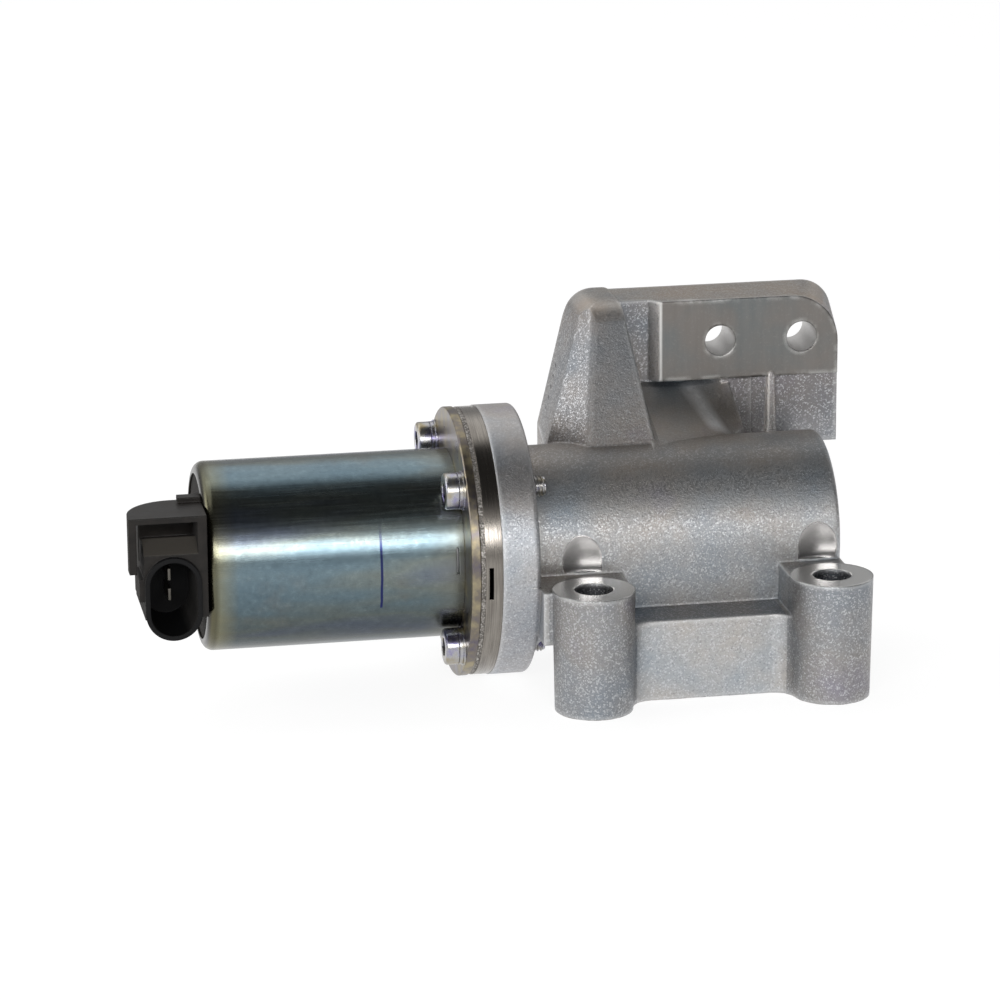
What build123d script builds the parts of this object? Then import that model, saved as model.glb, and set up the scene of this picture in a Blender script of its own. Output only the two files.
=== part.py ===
from build123d import *
import math
import os

# Solenoid exhaust gas recirculation valve, in millimetres.
# The origin lies midway between the two foot bolts, on the seating face of the foot.
# +X runs along the valve axis from the connector to the closed end of the barrel, +Z is up,
# and -Y is the side of the two tall foot bosses.

# Valve axis
axis_y = 35.0
axis_z = 31.5

# Foot: two bolt bosses with a slab between them
foot_bolt_spacing = 56.0
foot_hole_dia = 9.0
boss_height = 28.6
boss_foot_radius = 9.05
boss_draft = 1.0
slab_height = 19.2
slab_front_y = 2.6
slab_corner_radius = 5.0
pedestal_length = 58.0
pedestal_back_y = 49.0
pedestal_corner_radius = 6.0
boss_web_height = 28.0
boss_web_front_y = 0.6
boss_web_underside_z = 15.6
boss_web_reach = 9.3
flange_web_fillet = 5.0
spotface_cutter_radius = 14.2
spotface_cut_height = 16.0
spotface_bite_half_width = 5.0
foot_port_x = 3.0
foot_port_y = 27.0
foot_port_dia = 18.0

# Barrel and its screw flange
barrel_radius = 21.5
barrel_end_x = 33.6
barrel_end_rounding = 1.0
flange_radius = 31.7
flange_thickness = 8.8
flange_right_x = -39.5
flange_rounding = 1.0
chamber_radius = 14.5
chamber_end_wall = 6.0
seat_bore_radius = 16.5
carrier_recess_radius = 19.5
carrier_recess_depth = 3.0

# Port plate behind the barrel
plate_back_y = 68.0
plate_cast_front_y = 56.5
plate_pad_front_y = 54.0
wall_front_y = 54.7
plate_left_x = -16.0
plate_right_x = 42.7
plate_bottom_z = 45.4
plate_top_z = 81.8
plate_corner_radius = 11.5
plate_back_spread = 1.6
plate_back_rise = 0.5
plate_back_corner_radius = 7.8
pad_left_x = -0.9
pad_bottom_z = 62.3
plate_hole_dia = 7.3
plate_hole_x = 13.8
plate_hole_spacing = 20.0
plate_hole_z = 71.7
wall_bead_x = 26.4
wall_bead_foot_radius = 1.7
wall_bead_top_radius = 1.1
wall_bead_overlap = 0.2
wall_step_right_x = 21.6
wall_step_left_x = 14.0
wall_step_height = 0.4
plate_port_x = -12.0
plate_port_z = 66.0
plate_port_dia = 16.0
plate_port_depth = 6.0
gas_passage_radius = 6.5
gas_passage_end = (-22.8, 38.0, 42.0)

# Gusset between the plate and the barrel, as plan sections at two heights
gusset_base_z = 50.0
gusset_top_z = 84.0
gusset_root_z = 38.0
gusset_base_left = (-28.1, -30.9)
gusset_base_left_front_y = 42.8
gusset_base_ridge_x = -23.1
gusset_base_right_x = -6.1
gusset_base_front_y = 31.5
gusset_top_left = (-20.0, -18.9)
gusset_top_left_front_y = 56.0
gusset_top_ridge_x = -17.6
gusset_top_right_x = -11.0
gusset_top_front_y = 52.0
gusset_crown_z = 82.8
gusset_crown_foot_x = (-31.4, -4.0)
gusset_crown_top_x = (-19.5, -9.8)
gusset_crown_radius = 7.0
gusset_tip_radius = 3.0
gusset_ridge_rounding = 2.5
gusset_brow_radius = 9.0

# Duct roof between the gusset and the plate's lower wall
roof_base_z = 52.0
roof_root_z = 38.0
roof_left_x = -7.5
roof_base_left_y = 28.9
roof_base_ridge = (11.8, 36.8)
roof_base_right = (17.8, 46.0)
roof_top_left_y = 57.5
roof_top_ridge = (3.6, 58.0)
roof_top_right = (15.8, 55.0)
roof_base_ridge_rounding = 4.0
roof_top_ridge_rounding = 2.0
back_fill_top_z = 46.5
back_fill_front_y = 40.0

# Screwed stack on the flange
spacer_radius = 31.5
spacer_thickness = 4.0
stack_bore_radius = 12.0
vent_slot_width = 1.0
vent_slot_inset = 0.8
vent_slot_height = 7.6
vent_slot_drop = 1.3
gasket_radius = 31.3
gasket_thickness = 1.0
plate_radius = 31.6
plate_thickness = 2.2
plate_edge_bevel = 0.25
plate_stem_hole_radius = 4.2

# Screws
screw_circle_radius = 26.9
screw_angle = 48.0
screw_count = 4
screw_dia = 5.0
screw_hole_dia = 5.5
screw_head_dia = 8.5
screw_head_height = 3.2
screw_head_rounding = 0.5
screw_socket_flats = 4.0
screw_socket_depth = 1.8
screw_projection = 3.0
screw_tip_bevel = 0.4
flat_washer_radius = 4.6
flat_washer_thickness = 0.5
spring_washer_radius = 4.3
spring_washer_thickness = 0.9
spring_washer_gap = 1.2

# Solenoid
can_radius = 22.05
can_wall = 2.0
can_length = 59.3
can_rim_rounding = 2.4
can_rim_depth = 0.5
can_mouth_radius = 19.3
can_notch_height = 6.2
can_notch_width = 0.6
can_notch_rise = 1.6
can_notch_inset = 1.3
cap_disc_thickness = 8.1
fixed_pole_thickness = 5.0
front_pole_thickness = 5.0
pole_core_radius = 9.7
pole_core_length = 10.9
armature_radius = 9.7
armature_length = 27.0
armature_groove_radius = 1.2
sleeve_wall = 0.55
bobbin_wall = 1.3
bobbin_flange_thickness = 1.6
bobbin_flange_radius = 19.6
winding_radius = 18.8
shim_thickness = 0.4
shim_radius = 9.0
seal_section_radius = 1.0
seal_groove_width = 2.4
fit_gap = 0.05
cut_overrun = 1.0
pick_tolerance = 0.1

# Moving valve
valve_lift = 5.0
stop_gap = 0.3
stem_radius = 3.0
stem_press_depth = 12.0
seat_left_x = -14.0
seat_thickness = 5.0
seat_throat_radius = 10.0
seat_cone_depth = 2.0
poppet_radius = 12.3
poppet_rim_width = 2.1
poppet_hub_radius = 6.0
poppet_back_slope = 1.5
seat_gap = 0.07
carrier_plug_length = 11.8
carrier_nose_radius = 8.5
carrier_nose_length = 6.0
carrier_cup_radius = 11.0
carrier_cup_depth = 9.6
bush_wall = 2.5
bush_clearance = 0.03
scraper_radius = 6.5
scraper_thickness = 2.0
retainer_radius = 9.2
retainer_thickness = 1.2
retainer_to_floor = 1.6
clip_radius = 5.0
clip_thickness = 0.7
clip_groove_depth = 0.5
clip_mouth_width = 3.6
spring_mean_radius = 7.0
spring_wire_radius = 0.6
spring_turns = 4.5
wire_sides = 8
spring_end_gap = 0.05

# Connector housing on the end cap
connector_left_x = -132.7
connector_roof_z = 47.6
connector_front_y = 13.0
connector_back_y = 27.3
connector_corner_radius = 11.0
connector_trim_radius = 45.0
connector_block_bottom_z = 34.5
latch_pocket_x = (-131.0, -117.0)
latch_pocket_top_z = 46.2
latch_pocket_back_y = 24.0
latch_ramp_front_z = 38.2
latch_crest_y = 18.0
latch_crest_z = 41.6
latch_shelf_z = 40.0
shroud_x = -122.85
shroud_z = 28.4
shroud_half_width = 6.5
shroud_half_height = 9.8
shroud_wall = 1.1
shroud_front_y = 12.0
shroud_back_y = 34.0
shroud_floor_y = 30.5
shroud_lip = 1.2
side_lug_x = (-130.5, -127.5)
side_lug_z = (27.8, 33.1)
side_lug_y = (13.5, 24.0)
roof_tab_x = (-120.2, -113.0)
roof_tab_y = (24.4, 27.3)
roof_tab_height = 1.2
terminal_pitch = 4.8
terminal_rise = 0.6
terminal_width = 2.8
terminal_thickness = 0.64
terminal_tip_y = 22.0
terminal_bend_y = 32.0

# Worked-out places along the valve axis
flange_left_x = flange_right_x - flange_thickness
spacer_left_x = flange_left_x - spacer_thickness
gasket_left_x = spacer_left_x - gasket_thickness
plate_left_face_x = gasket_left_x - plate_thickness
can_left_x = plate_left_face_x - can_length
cap_left_x = can_left_x + can_rim_depth
cap_right_x = cap_left_x + cap_disc_thickness
fixed_pole_right_x = cap_right_x + fixed_pole_thickness
core_face_x = fixed_pole_right_x + pole_core_length
shim_face_x = core_face_x + shim_thickness
armature_left_x = shim_face_x + stop_gap + valve_lift
armature_right_x = armature_left_x + armature_length
front_pole_left_x = plate_left_face_x - front_pole_thickness
sleeve_inner_radius = armature_radius + fit_gap
sleeve_radius = sleeve_inner_radius + sleeve_wall
bobbin_bore_radius = sleeve_radius + fit_gap
bobbin_core_radius = bobbin_bore_radius + bobbin_wall
can_inner_radius = can_radius - can_wall
cap_radius = can_inner_radius - fit_gap
seat_right_x = seat_left_x + seat_thickness
chamber_end_x = barrel_end_x - chamber_end_wall
carrier_plug_end_x = flange_left_x + carrier_recess_depth + carrier_plug_length
carrier_nose_end_x = carrier_plug_end_x + carrier_nose_length
cup_floor_x = flange_left_x + carrier_cup_depth
scraper_left_x = carrier_nose_end_x - scraper_thickness
bush_radius = stem_radius + bush_wall
retainer_left_x = cup_floor_x - retainer_to_floor - retainer_thickness
retainer_right_x = retainer_left_x + retainer_thickness
barrel_front_y = axis_y - barrel_radius
cap_middle_x = (cap_left_x + cap_right_x) / 2
valve_axis = Axis((0, axis_y, axis_z), (1, 0, 0))


def rod(left_x, right_x, radius):
    """A round bar on the valve axis."""
    place = Pos(left_x, axis_y, axis_z) * Rot(0, 90, 0)
    return place * Cylinder(radius, right_x - left_x, align=(Align.CENTER, Align.CENTER, Align.MIN))


def ring(left_x, right_x, inner_radius, outer_radius):
    """A round sleeve on the valve axis."""
    return rod(left_x, right_x, outer_radius) - rod(left_x, right_x, inner_radius)


def turned(profile):
    """A turned piece from (x, radius) points."""
    plane = Plane(origin=(0, axis_y, axis_z), x_dir=(1, 0, 0), z_dir=(0, -1, 0))
    face = plane * make_face(Polyline(*profile, close=True))
    return revolve(face, axis=valve_axis)


def block(x_range, y_range, z_range):
    """A box between two places on each axis."""
    size = (x_range[1] - x_range[0], y_range[1] - y_range[0], z_range[1] - z_range[0])
    return Pos(x_range[0], y_range[0], z_range[0]) * Box(*size, align=(Align.MIN, Align.MIN, Align.MIN))


def post(x, y, bottom_z, top_z, radius):
    """An upright round bar."""
    bar = Cylinder(radius, top_z - bottom_z, align=(Align.CENTER, Align.CENTER, Align.MIN))
    return Pos(x, y, bottom_z) * bar


def peg(x, z, front_y, back_y, radius):
    """A round bar along Y."""
    place = Pos(x, front_y, z) * Rot(-90, 0, 0)
    return place * Cylinder(radius, back_y - front_y, align=(Align.CENTER, Align.CENTER, Align.MIN))


def plan_face(points, z):
    """A flat face at one height from (x, y) corners."""
    return Pos(0, 0, z) * make_face(Polyline(*points, close=True))


def edge_near(shape, x, y):
    """The edges whose middle lies at one place in plan."""
    return [
        e for e in shape.edges()
        if abs(e.center().X - x) < pick_tolerance and abs(e.center().Y - y) < pick_tolerance
    ]


def screw_places():
    """The centre of each flange screw as (y, z)."""
    angles = [math.radians(screw_angle + 360 / screw_count * i) for i in range(screw_count)]
    return [
        (axis_y + screw_circle_radius * math.cos(a), axis_z + screw_circle_radius * math.sin(a))
        for a in angles
    ]


def bars_at_screws(left_x, right_x, radius):
    """A round bar at each flange screw."""
    bar = rod(left_x, right_x, radius)
    return [Pos(0, y - axis_y, z - axis_z) * bar for y, z in screw_places()]


def without_screw_holes(shape, left_x, right_x, diameter):
    """The shape with the four screw holes cut through it."""
    for bar in bars_at_screws(left_x - cut_overrun, right_x + cut_overrun, diameter / 2):
        shape -= bar
    return shape


def foot_outline():
    """Plan of the pedestal and the two bosses, with round inner corners."""
    half = pedestal_length / 2
    plan = Rectangle(pedestal_length, pedestal_back_y - slab_front_y, align=(Align.CENTER, Align.MIN))
    plan = Pos(0, slab_front_y) * plan
    for side in (-1, 1):
        plan += Pos(side * foot_bolt_spacing / 2, 0) * Circle(boss_foot_radius)
    corner_x = foot_bolt_spacing / 2 - math.sqrt(boss_foot_radius**2 - slab_front_y**2)
    inner = [
        v for v in plan.vertices()
        if abs(abs(v.X) - corner_x) < pick_tolerance and abs(v.Y - slab_front_y) < pick_tolerance
    ]
    plan = fillet(inner, slab_corner_radius)
    back = [v for v in plan.vertices() if abs(v.Y - pedestal_back_y) < pick_tolerance]
    return fillet(back, pedestal_corner_radius)


def foot():
    """Pedestal, slab and the two tall bosses, with their webs to the barrel."""
    half = pedestal_length / 2
    shape = extrude(foot_outline(), slab_height, taper=-boss_draft)
    growth = math.tan(math.radians(boss_draft))
    wall = block((-half, half), (barrel_front_y, pedestal_back_y), (slab_height - cut_overrun, axis_z))
    wall_edges = wall.edges().filter_by(Axis.Z).sort_by(Axis.Y)[-2:]
    shape += fillet(wall_edges, pedestal_corner_radius)
    for side in (-1, 1):
        x = side * foot_bolt_spacing / 2
        upper = Cone(boss_foot_radius + slab_height * growth, boss_foot_radius + boss_height * growth,
                     boss_height - slab_height, align=(Align.CENTER, Align.CENTER, Align.MIN))
        shape += Pos(x, 0, slab_height) * upper
        right = min(x + boss_web_reach, barrel_end_x)
        shape += block((x - boss_web_reach, right), (0, axis_y), (boss_web_underside_z, boss_web_height))
    web_y = (boss_web_front_y, axis_y)
    shape += block((flange_right_x, -foot_bolt_spacing / 2), web_y, (boss_web_underside_z, boss_web_height))
    arch_x = flange_right_x + flange_web_fillet
    arch_z = boss_web_underside_z - flange_web_fillet
    root_x = flange_right_x - cut_overrun
    arch = block((root_x, arch_x), web_y, (arch_z, boss_web_height))
    arch -= peg(arch_x, arch_z, boss_web_front_y - cut_overrun, axis_y + cut_overrun, flange_web_fillet)
    return shape + (arch & rod(root_x, arch_x, flange_radius - flange_rounding))


def plate_outline(y, right_x, top_z, corner_radius):
    """Upright outline of the plate at one depth, with its round upper corner."""
    frame = Plane(origin=(0, y, 0), x_dir=(1, 0, 0), z_dir=(0, -1, 0))
    outline = make_face(Polyline(
        (plate_left_x, plate_bottom_z), (right_x, plate_bottom_z), (right_x, top_z), (plate_left_x, top_z),
        close=True
    ))
    corner = outline.vertices().sort_by(Axis.X)[-2:].sort_by(Axis.Y)[-1]
    return frame * fillet(corner, corner_radius)


def strip_recess():
    """Cast strip left of the machined pad, with a sloped edge up to the pad."""
    depth = plate_cast_front_y - plate_pad_front_y
    frame = Plane(origin=(0, plate_cast_front_y, 0), x_dir=(1, 0, 0), z_dir=(0, -1, 0))
    height = plate_top_z + 2 * depth - pad_bottom_z
    width = pad_left_x - depth - plate_left_x
    outline = Pos(plate_left_x, pad_bottom_z) * Rectangle(width, height, align=(Align.MIN, Align.MIN))
    return extrude(frame * outline, depth, taper=-45)


def port_plate():
    """Upright plate that widens towards its back, with its machined pad, lower wall, step and bead."""
    back_right_x = plate_right_x + plate_back_spread
    plate = loft([
        plate_outline(plate_pad_front_y, plate_right_x, plate_top_z, plate_corner_radius),
        plate_outline(plate_back_y, back_right_x, plate_top_z + plate_back_rise, plate_back_corner_radius),
    ], ruled=True)
    plate -= strip_recess()
    below_pad_z = (plate_bottom_z - cut_overrun, pad_bottom_z)
    in_front_y = plate_pad_front_y - cut_overrun
    left_of_step = (plate_left_x - cut_overrun, wall_step_left_x)
    plate -= block(left_of_step, (in_front_y, plate_cast_front_y), below_pad_z)
    plate -= block((wall_step_left_x, back_right_x), (in_front_y, wall_front_y), below_pad_z)
    wall_z = (plate_bottom_z, pad_bottom_z)
    step_y = (wall_front_y - wall_step_height, wall_front_y)
    plate += block((wall_step_left_x, wall_step_right_x), step_y, wall_z)
    bead_top_z = pad_bottom_z + wall_bead_overlap
    bead = Pos(wall_bead_x, wall_front_y, plate_bottom_z) * Cone(
        wall_bead_foot_radius, wall_bead_top_radius, bead_top_z - plate_bottom_z,
        align=(Align.CENTER, Align.CENTER, Align.MIN),
    )
    return plate + bead + Pos(wall_bead_x, wall_front_y, bead_top_z) * Sphere(wall_bead_top_radius)


def gusset():
    """Hollow-looking gusset that leans from the plate's top down to the barrel."""
    base_points = [
        (gusset_base_left[0], plate_back_y),
        (gusset_base_left[1], gusset_base_left_front_y),
        (gusset_base_ridge_x, gusset_base_front_y),
        (gusset_base_right_x, gusset_base_front_y),
        (gusset_base_right_x, plate_back_y),
    ]
    top_points = [
        (gusset_top_left[0], plate_back_y),
        (gusset_top_left[1], gusset_top_left_front_y),
        (gusset_top_ridge_x, gusset_top_front_y),
        (gusset_top_right_x, gusset_top_front_y),
        (gusset_top_right_x, plate_back_y),
    ]
    base = plan_face(base_points, gusset_base_z)
    top = plan_face(top_points, gusset_top_z)
    body = loft([base, top], ruled=True)
    ridge_x = (gusset_base_ridge_x + gusset_top_ridge_x) / 2
    ridge_y = (gusset_base_front_y + gusset_top_front_y) / 2
    body = fillet(edge_near(body, ridge_x, ridge_y), gusset_ridge_rounding)
    crown = make_face(Polyline(
        (gusset_crown_foot_x[0], gusset_base_z), (gusset_crown_top_x[0], gusset_crown_z),
        (gusset_crown_top_x[1], gusset_crown_z), (gusset_crown_foot_x[1], gusset_base_z), close=True
    ))
    crown = fillet(crown.vertices().sort_by(Axis.Y)[-2:].sort_by(Axis.X)[0], gusset_crown_radius)
    crown = fillet(crown.vertices().sort_by(Axis.X)[-2:].sort_by(Axis.Y)[-1], gusset_tip_radius)
    side = Plane(origin=(0, plate_back_y, 0), x_dir=(1, 0, 0), z_dir=(0, -1, 0))
    body &= extrude(side * crown, plate_back_y - gusset_base_front_y)
    body &= gusset_brow()
    root = extrude(plan_face(
        [
            (gusset_base_left[0], plate_back_y),
            (gusset_base_left[0], gusset_base_left_front_y),
            (gusset_base_right_x, gusset_base_left_front_y),
            (gusset_base_right_x, plate_back_y),
        ], gusset_root_z), gusset_base_z - gusset_root_z)
    return body + root


def gusset_brow():
    """Side outline of the gusset, round where its crown turns down into the ridge."""
    rise = (gusset_crown_z - gusset_base_z) / (gusset_top_z - gusset_base_z)
    brow_y = gusset_base_front_y + rise * (gusset_top_front_y - gusset_base_front_y)
    outline = make_face(Polyline(
        (plate_back_y, gusset_base_z), (plate_back_y, gusset_crown_z), (brow_y, gusset_crown_z),
        (gusset_base_front_y, gusset_base_z), close=True
    ))
    brow = outline.vertices().sort_by_distance((brow_y, gusset_crown_z))[0]
    across = Plane(origin=(gusset_crown_foot_x[0], 0, 0), x_dir=(0, 1, 0), z_dir=(1, 0, 0))
    return extrude(across * fillet(brow, gusset_brow_radius), gusset_crown_foot_x[1] - gusset_crown_foot_x[0])


def duct_roof():
    """Sloped roof of the gas duct between the gusset and the plate's lower wall."""
    back_y = (plate_cast_front_y + plate_back_y) / 2
    base_points = [
        (roof_left_x, roof_base_left_y), roof_base_ridge, roof_base_right,
        (roof_base_right[0], back_y), (roof_left_x, back_y),
    ]
    top_points = [
        (roof_left_x, roof_top_left_y), roof_top_ridge, roof_top_right,
        (roof_top_right[0], back_y), (roof_left_x, back_y),
    ]
    base = plan_face(base_points, roof_base_z)
    base_ridge = base.vertices().sort_by_distance((*roof_base_ridge, roof_base_z))[0]
    base = fillet(base_ridge, roof_base_ridge_rounding)
    top = plan_face(top_points, pad_bottom_z)
    top_ridge = top.vertices().sort_by_distance((*roof_top_ridge, pad_bottom_z))[0]
    top = fillet(top_ridge, roof_top_ridge_rounding)
    roof = loft([base, top], ruled=True)
    root_points = [
        (roof_left_x, axis_y), (roof_base_ridge[0], roof_base_ridge[1] + cut_overrun), roof_base_right,
        (roof_base_right[0], back_y), (roof_left_x, back_y),
    ]
    root = extrude(plan_face(root_points, roof_root_z), roof_base_z - roof_root_z)
    fill = block((roof_base_right[0] - cut_overrun, barrel_end_x), (back_fill_front_y, back_y),
                 (axis_z, back_fill_top_z))
    return roof + root + fill


def barrel():
    """Round barrel with its screw flange, still solid."""
    tube = rod(flange_right_x - cut_overrun, barrel_end_x, barrel_radius)
    end_edge = tube.edges().filter_by(GeomType.CIRCLE).sort_by(Axis.X)[-1]
    tube = fillet(end_edge, barrel_end_rounding)
    flange = rod(flange_left_x, flange_right_x, flange_radius)
    flange_edge = flange.edges().filter_by(GeomType.CIRCLE).sort_by(Axis.X)[-1]
    flange = fillet(flange_edge, flange_rounding)
    return tube + flange


def gas_passage():
    """Slanted cored passage from the plate port down to the inlet chamber."""
    start = Vector(plate_port_x, plate_back_y - plate_port_depth, plate_port_z)
    direction = Vector(gas_passage_end) - start
    place = Plane(origin=start, z_dir=direction)
    bar = Cylinder(gas_passage_radius, direction.length, align=(Align.CENTER, Align.CENTER, Align.MIN))
    return place * bar


def valve_body():
    """The casting: outer form first, then every bore."""
    shape = barrel() + foot() + port_plate() + gusset() + duct_roof()
    for side in (-1, 1):
        x = side * foot_bolt_spacing / 2
        cutter = post(x, 0, boss_height, boss_height + spotface_cut_height, spotface_cutter_radius)
        bite_x = (x - spotface_bite_half_width, x + spotface_bite_half_width)
        reach = block(bite_x, (0, axis_y), (boss_height, boss_height + spotface_cut_height))
        shape -= cutter & reach
        shape -= post(x, 0, -cut_overrun, boss_height + cut_overrun, foot_hole_dia / 2)
    shape -= rod(flange_left_x - cut_overrun, seat_right_x, seat_bore_radius)
    shape -= rod(flange_left_x - cut_overrun, flange_left_x + carrier_recess_depth, carrier_recess_radius)
    shape -= rod(seat_right_x - cut_overrun, chamber_end_x, chamber_radius)
    shape -= post(foot_port_x, foot_port_y, -cut_overrun, axis_z, foot_port_dia / 2)
    shape -= gas_passage()
    shape -= peg(plate_port_x, plate_port_z, plate_back_y - plate_port_depth, plate_back_y + cut_overrun,
                 plate_port_dia / 2)
    for i in range(2):
        x = plate_hole_x + i * plate_hole_spacing
        shape -= peg(x, plate_hole_z, plate_pad_front_y - cut_overrun, plate_back_y + cut_overrun,
                     plate_hole_dia / 2)
    return without_screw_holes(shape, flange_left_x, flange_right_x + screw_projection, screw_dia)


def spacer_ring():
    """Machined ring with a vent slot cut through its wall near the left face."""
    shape = ring(spacer_left_x, flange_left_x, stack_bore_radius, spacer_radius)
    slot_z = axis_z - vent_slot_drop
    slot_left_x = spacer_left_x + vent_slot_inset
    shape -= block(
        (slot_left_x, slot_left_x + vent_slot_width),
        (axis_y - spacer_radius - cut_overrun, axis_y - stack_bore_radius / 2),
        (slot_z - vent_slot_height / 2, slot_z + vent_slot_height / 2),
    )
    return without_screw_holes(shape, spacer_left_x, flange_left_x, screw_hole_dia)


def flange_gasket():
    """Textured heat gasket."""
    shape = ring(gasket_left_x, spacer_left_x, stack_bore_radius, gasket_radius)
    return without_screw_holes(shape, gasket_left_x, spacer_left_x, screw_hole_dia)


def flange_plate():
    """Steel plate that carries the solenoid and seats the return spring."""
    shape = ring(plate_left_face_x, gasket_left_x, plate_stem_hole_radius, plate_radius)
    rims = shape.edges().filter_by(GeomType.CIRCLE).group_by(SortBy.RADIUS)[-1]
    shape = chamfer(rims, plate_edge_bevel)
    return without_screw_holes(shape, plate_left_face_x, gasket_left_x, screw_hole_dia)


def flange_screws():
    """Four socket head screws with their heads on the solenoid side."""
    under_head_x = plate_left_face_x - flat_washer_thickness - spring_washer_thickness
    head_left_x = under_head_x - screw_head_height
    head = rod(head_left_x, under_head_x, screw_head_dia / 2)
    head_edge = head.edges().filter_by(GeomType.CIRCLE).sort_by(Axis.X)[0]
    head = fillet(head_edge, screw_head_rounding)
    socket_plane = Plane(origin=(head_left_x, axis_y, axis_z), x_dir=(0, 1, 0), z_dir=(1, 0, 0))
    hexagon = RegularPolygon(screw_socket_flats / 2, 6, major_radius=False)
    head -= extrude(socket_plane * hexagon, screw_socket_depth)
    shank = rod(under_head_x, flange_right_x + screw_projection, screw_dia / 2)
    tip_edge = shank.edges().filter_by(GeomType.CIRCLE).sort_by(Axis.X)[-1]
    screw = head + chamfer(tip_edge, screw_tip_bevel)
    return [Pos(0, y - axis_y, z - axis_z) * screw for y, z in screw_places()]


def spring_washers():
    """Four split lock washers."""
    right_x = plate_left_face_x - flat_washer_thickness
    left_x = right_x - spring_washer_thickness
    washer = ring(left_x, right_x, screw_hole_dia / 2, spring_washer_radius)
    cut = block(
        (left_x, right_x),
        (axis_y, axis_y + spring_washer_radius + cut_overrun),
        (axis_z - spring_washer_gap / 2, axis_z + spring_washer_gap / 2),
    )
    washer -= cut
    return [Pos(0, y - axis_y, z - axis_z) * washer for y, z in screw_places()]


def flat_washers():
    """Four plain washers."""
    left_x = plate_left_face_x - flat_washer_thickness
    washer = ring(left_x, plate_left_face_x, screw_hole_dia / 2, flat_washer_radius)
    return [Pos(0, y - axis_y, z - axis_z) * washer for y, z in screw_places()]


def solenoid_can():
    """Drawn steel can with its left rim rolled in over the end cap."""
    can = ring(can_left_x, plate_left_face_x, can_inner_radius, can_radius)
    can += ring(can_left_x, cap_left_x, can_mouth_radius, can_radius)
    rim_edge = can.edges().filter_by(GeomType.CIRCLE).group_by(SortBy.RADIUS)[-1].sort_by(Axis.X)[0]
    can = fillet(rim_edge, can_rim_rounding)
    notch_right_x = plate_left_face_x - can_notch_inset
    notch_z = axis_z + can_notch_rise
    notch = block(
        (notch_right_x - can_notch_width, notch_right_x),
        (axis_y - can_radius - cut_overrun, axis_y - can_inner_radius / 2),
        (notch_z - can_notch_height / 2, notch_z + can_notch_height / 2),
    )
    return can - notch


def fixed_pole():
    """Flux plate and core that the armature is pulled towards."""
    return turned([
        (cap_right_x, 0), (cap_right_x, cap_radius), (fixed_pole_right_x, cap_radius),
        (fixed_pole_right_x, pole_core_radius), (core_face_x, pole_core_radius), (core_face_x, 0),
    ])


def front_pole():
    """Flux plate at the flange end of the can."""
    return ring(front_pole_left_x, plate_left_face_x, sleeve_radius + fit_gap, cap_radius)


def coil_bobbin():
    """Moulded bobbin."""
    left_x = fixed_pole_right_x
    right_x = front_pole_left_x
    return turned([
        (left_x, bobbin_bore_radius), (left_x, bobbin_flange_radius),
        (left_x + bobbin_flange_thickness, bobbin_flange_radius),
        (left_x + bobbin_flange_thickness, bobbin_core_radius),
        (right_x - bobbin_flange_thickness, bobbin_core_radius),
        (right_x - bobbin_flange_thickness, bobbin_flange_radius),
        (right_x, bobbin_flange_radius), (right_x, bobbin_bore_radius),
    ])


def coil_winding():
    """Copper winding as one body."""
    return ring(
        fixed_pole_right_x + bobbin_flange_thickness, front_pole_left_x - bobbin_flange_thickness,
        bobbin_core_radius, winding_radius,
    )


def armature_sleeve():
    """Thin guide tube for the armature."""
    return ring(fixed_pole_right_x, plate_left_face_x, sleeve_inner_radius, sleeve_radius)


def stop_shim():
    """Disc that keeps the armature off the core."""
    return rod(core_face_x, shim_face_x, shim_radius)


def armature():
    """Moving iron, grooved so that air can pass it."""
    shape = rod(armature_left_x, armature_right_x, armature_radius)
    shape -= rod(armature_right_x - stem_press_depth, armature_right_x, stem_radius)
    groove = rod(armature_left_x, armature_right_x, armature_groove_radius)
    for side in (-1, 1):
        shape -= Pos(0, 0, side * armature_radius) * groove
    return shape


def valve_stem():
    """Stem from the armature to the poppet, with a groove for the retainer clip."""
    poppet_face_x = seat_left_x + seat_cone_depth
    shape = rod(armature_right_x - stem_press_depth, poppet_face_x, stem_radius)
    groove_radius = stem_radius - clip_groove_depth
    return shape - ring(retainer_right_x, retainer_right_x + clip_thickness, groove_radius, clip_radius)


def valve_seat():
    """Seat ring with a 45 degree cone on its inlet side."""
    cone_radius = seat_throat_radius + seat_cone_depth
    return turned([
        (seat_left_x, cone_radius), (seat_left_x, seat_bore_radius), (seat_right_x, seat_bore_radius),
        (seat_right_x, seat_throat_radius), (seat_left_x + seat_cone_depth, seat_throat_radius),
    ])


def valve_poppet():
    """Valve head that closes on the seat's cone."""
    cone_sum = seat_left_x + seat_throat_radius + seat_cone_depth - seat_gap
    rim_x = cone_sum - poppet_radius
    face_x = seat_left_x + seat_cone_depth
    face_radius = cone_sum - face_x
    back_x = rim_x - poppet_rim_width - poppet_back_slope
    return turned([
        (back_x, stem_radius), (back_x, poppet_hub_radius), (rim_x - poppet_rim_width, poppet_radius),
        (rim_x, poppet_radius), (face_x, face_radius), (face_x, stem_radius),
    ])


def stem_carrier():
    """Plug that holds the stem guide and forms the spring cup."""
    flange_end_x = flange_left_x + carrier_recess_depth
    plug_radius = seat_bore_radius - fit_gap
    return turned([
        (flange_left_x, carrier_cup_radius), (flange_left_x, carrier_recess_radius - fit_gap),
        (flange_end_x, carrier_recess_radius - fit_gap), (flange_end_x, plug_radius),
        (carrier_plug_end_x, plug_radius), (carrier_plug_end_x, carrier_nose_radius),
        (carrier_nose_end_x, carrier_nose_radius), (carrier_nose_end_x, scraper_radius),
        (scraper_left_x, scraper_radius), (scraper_left_x, bush_radius),
        (cup_floor_x, bush_radius), (cup_floor_x, carrier_cup_radius),
    ])


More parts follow.
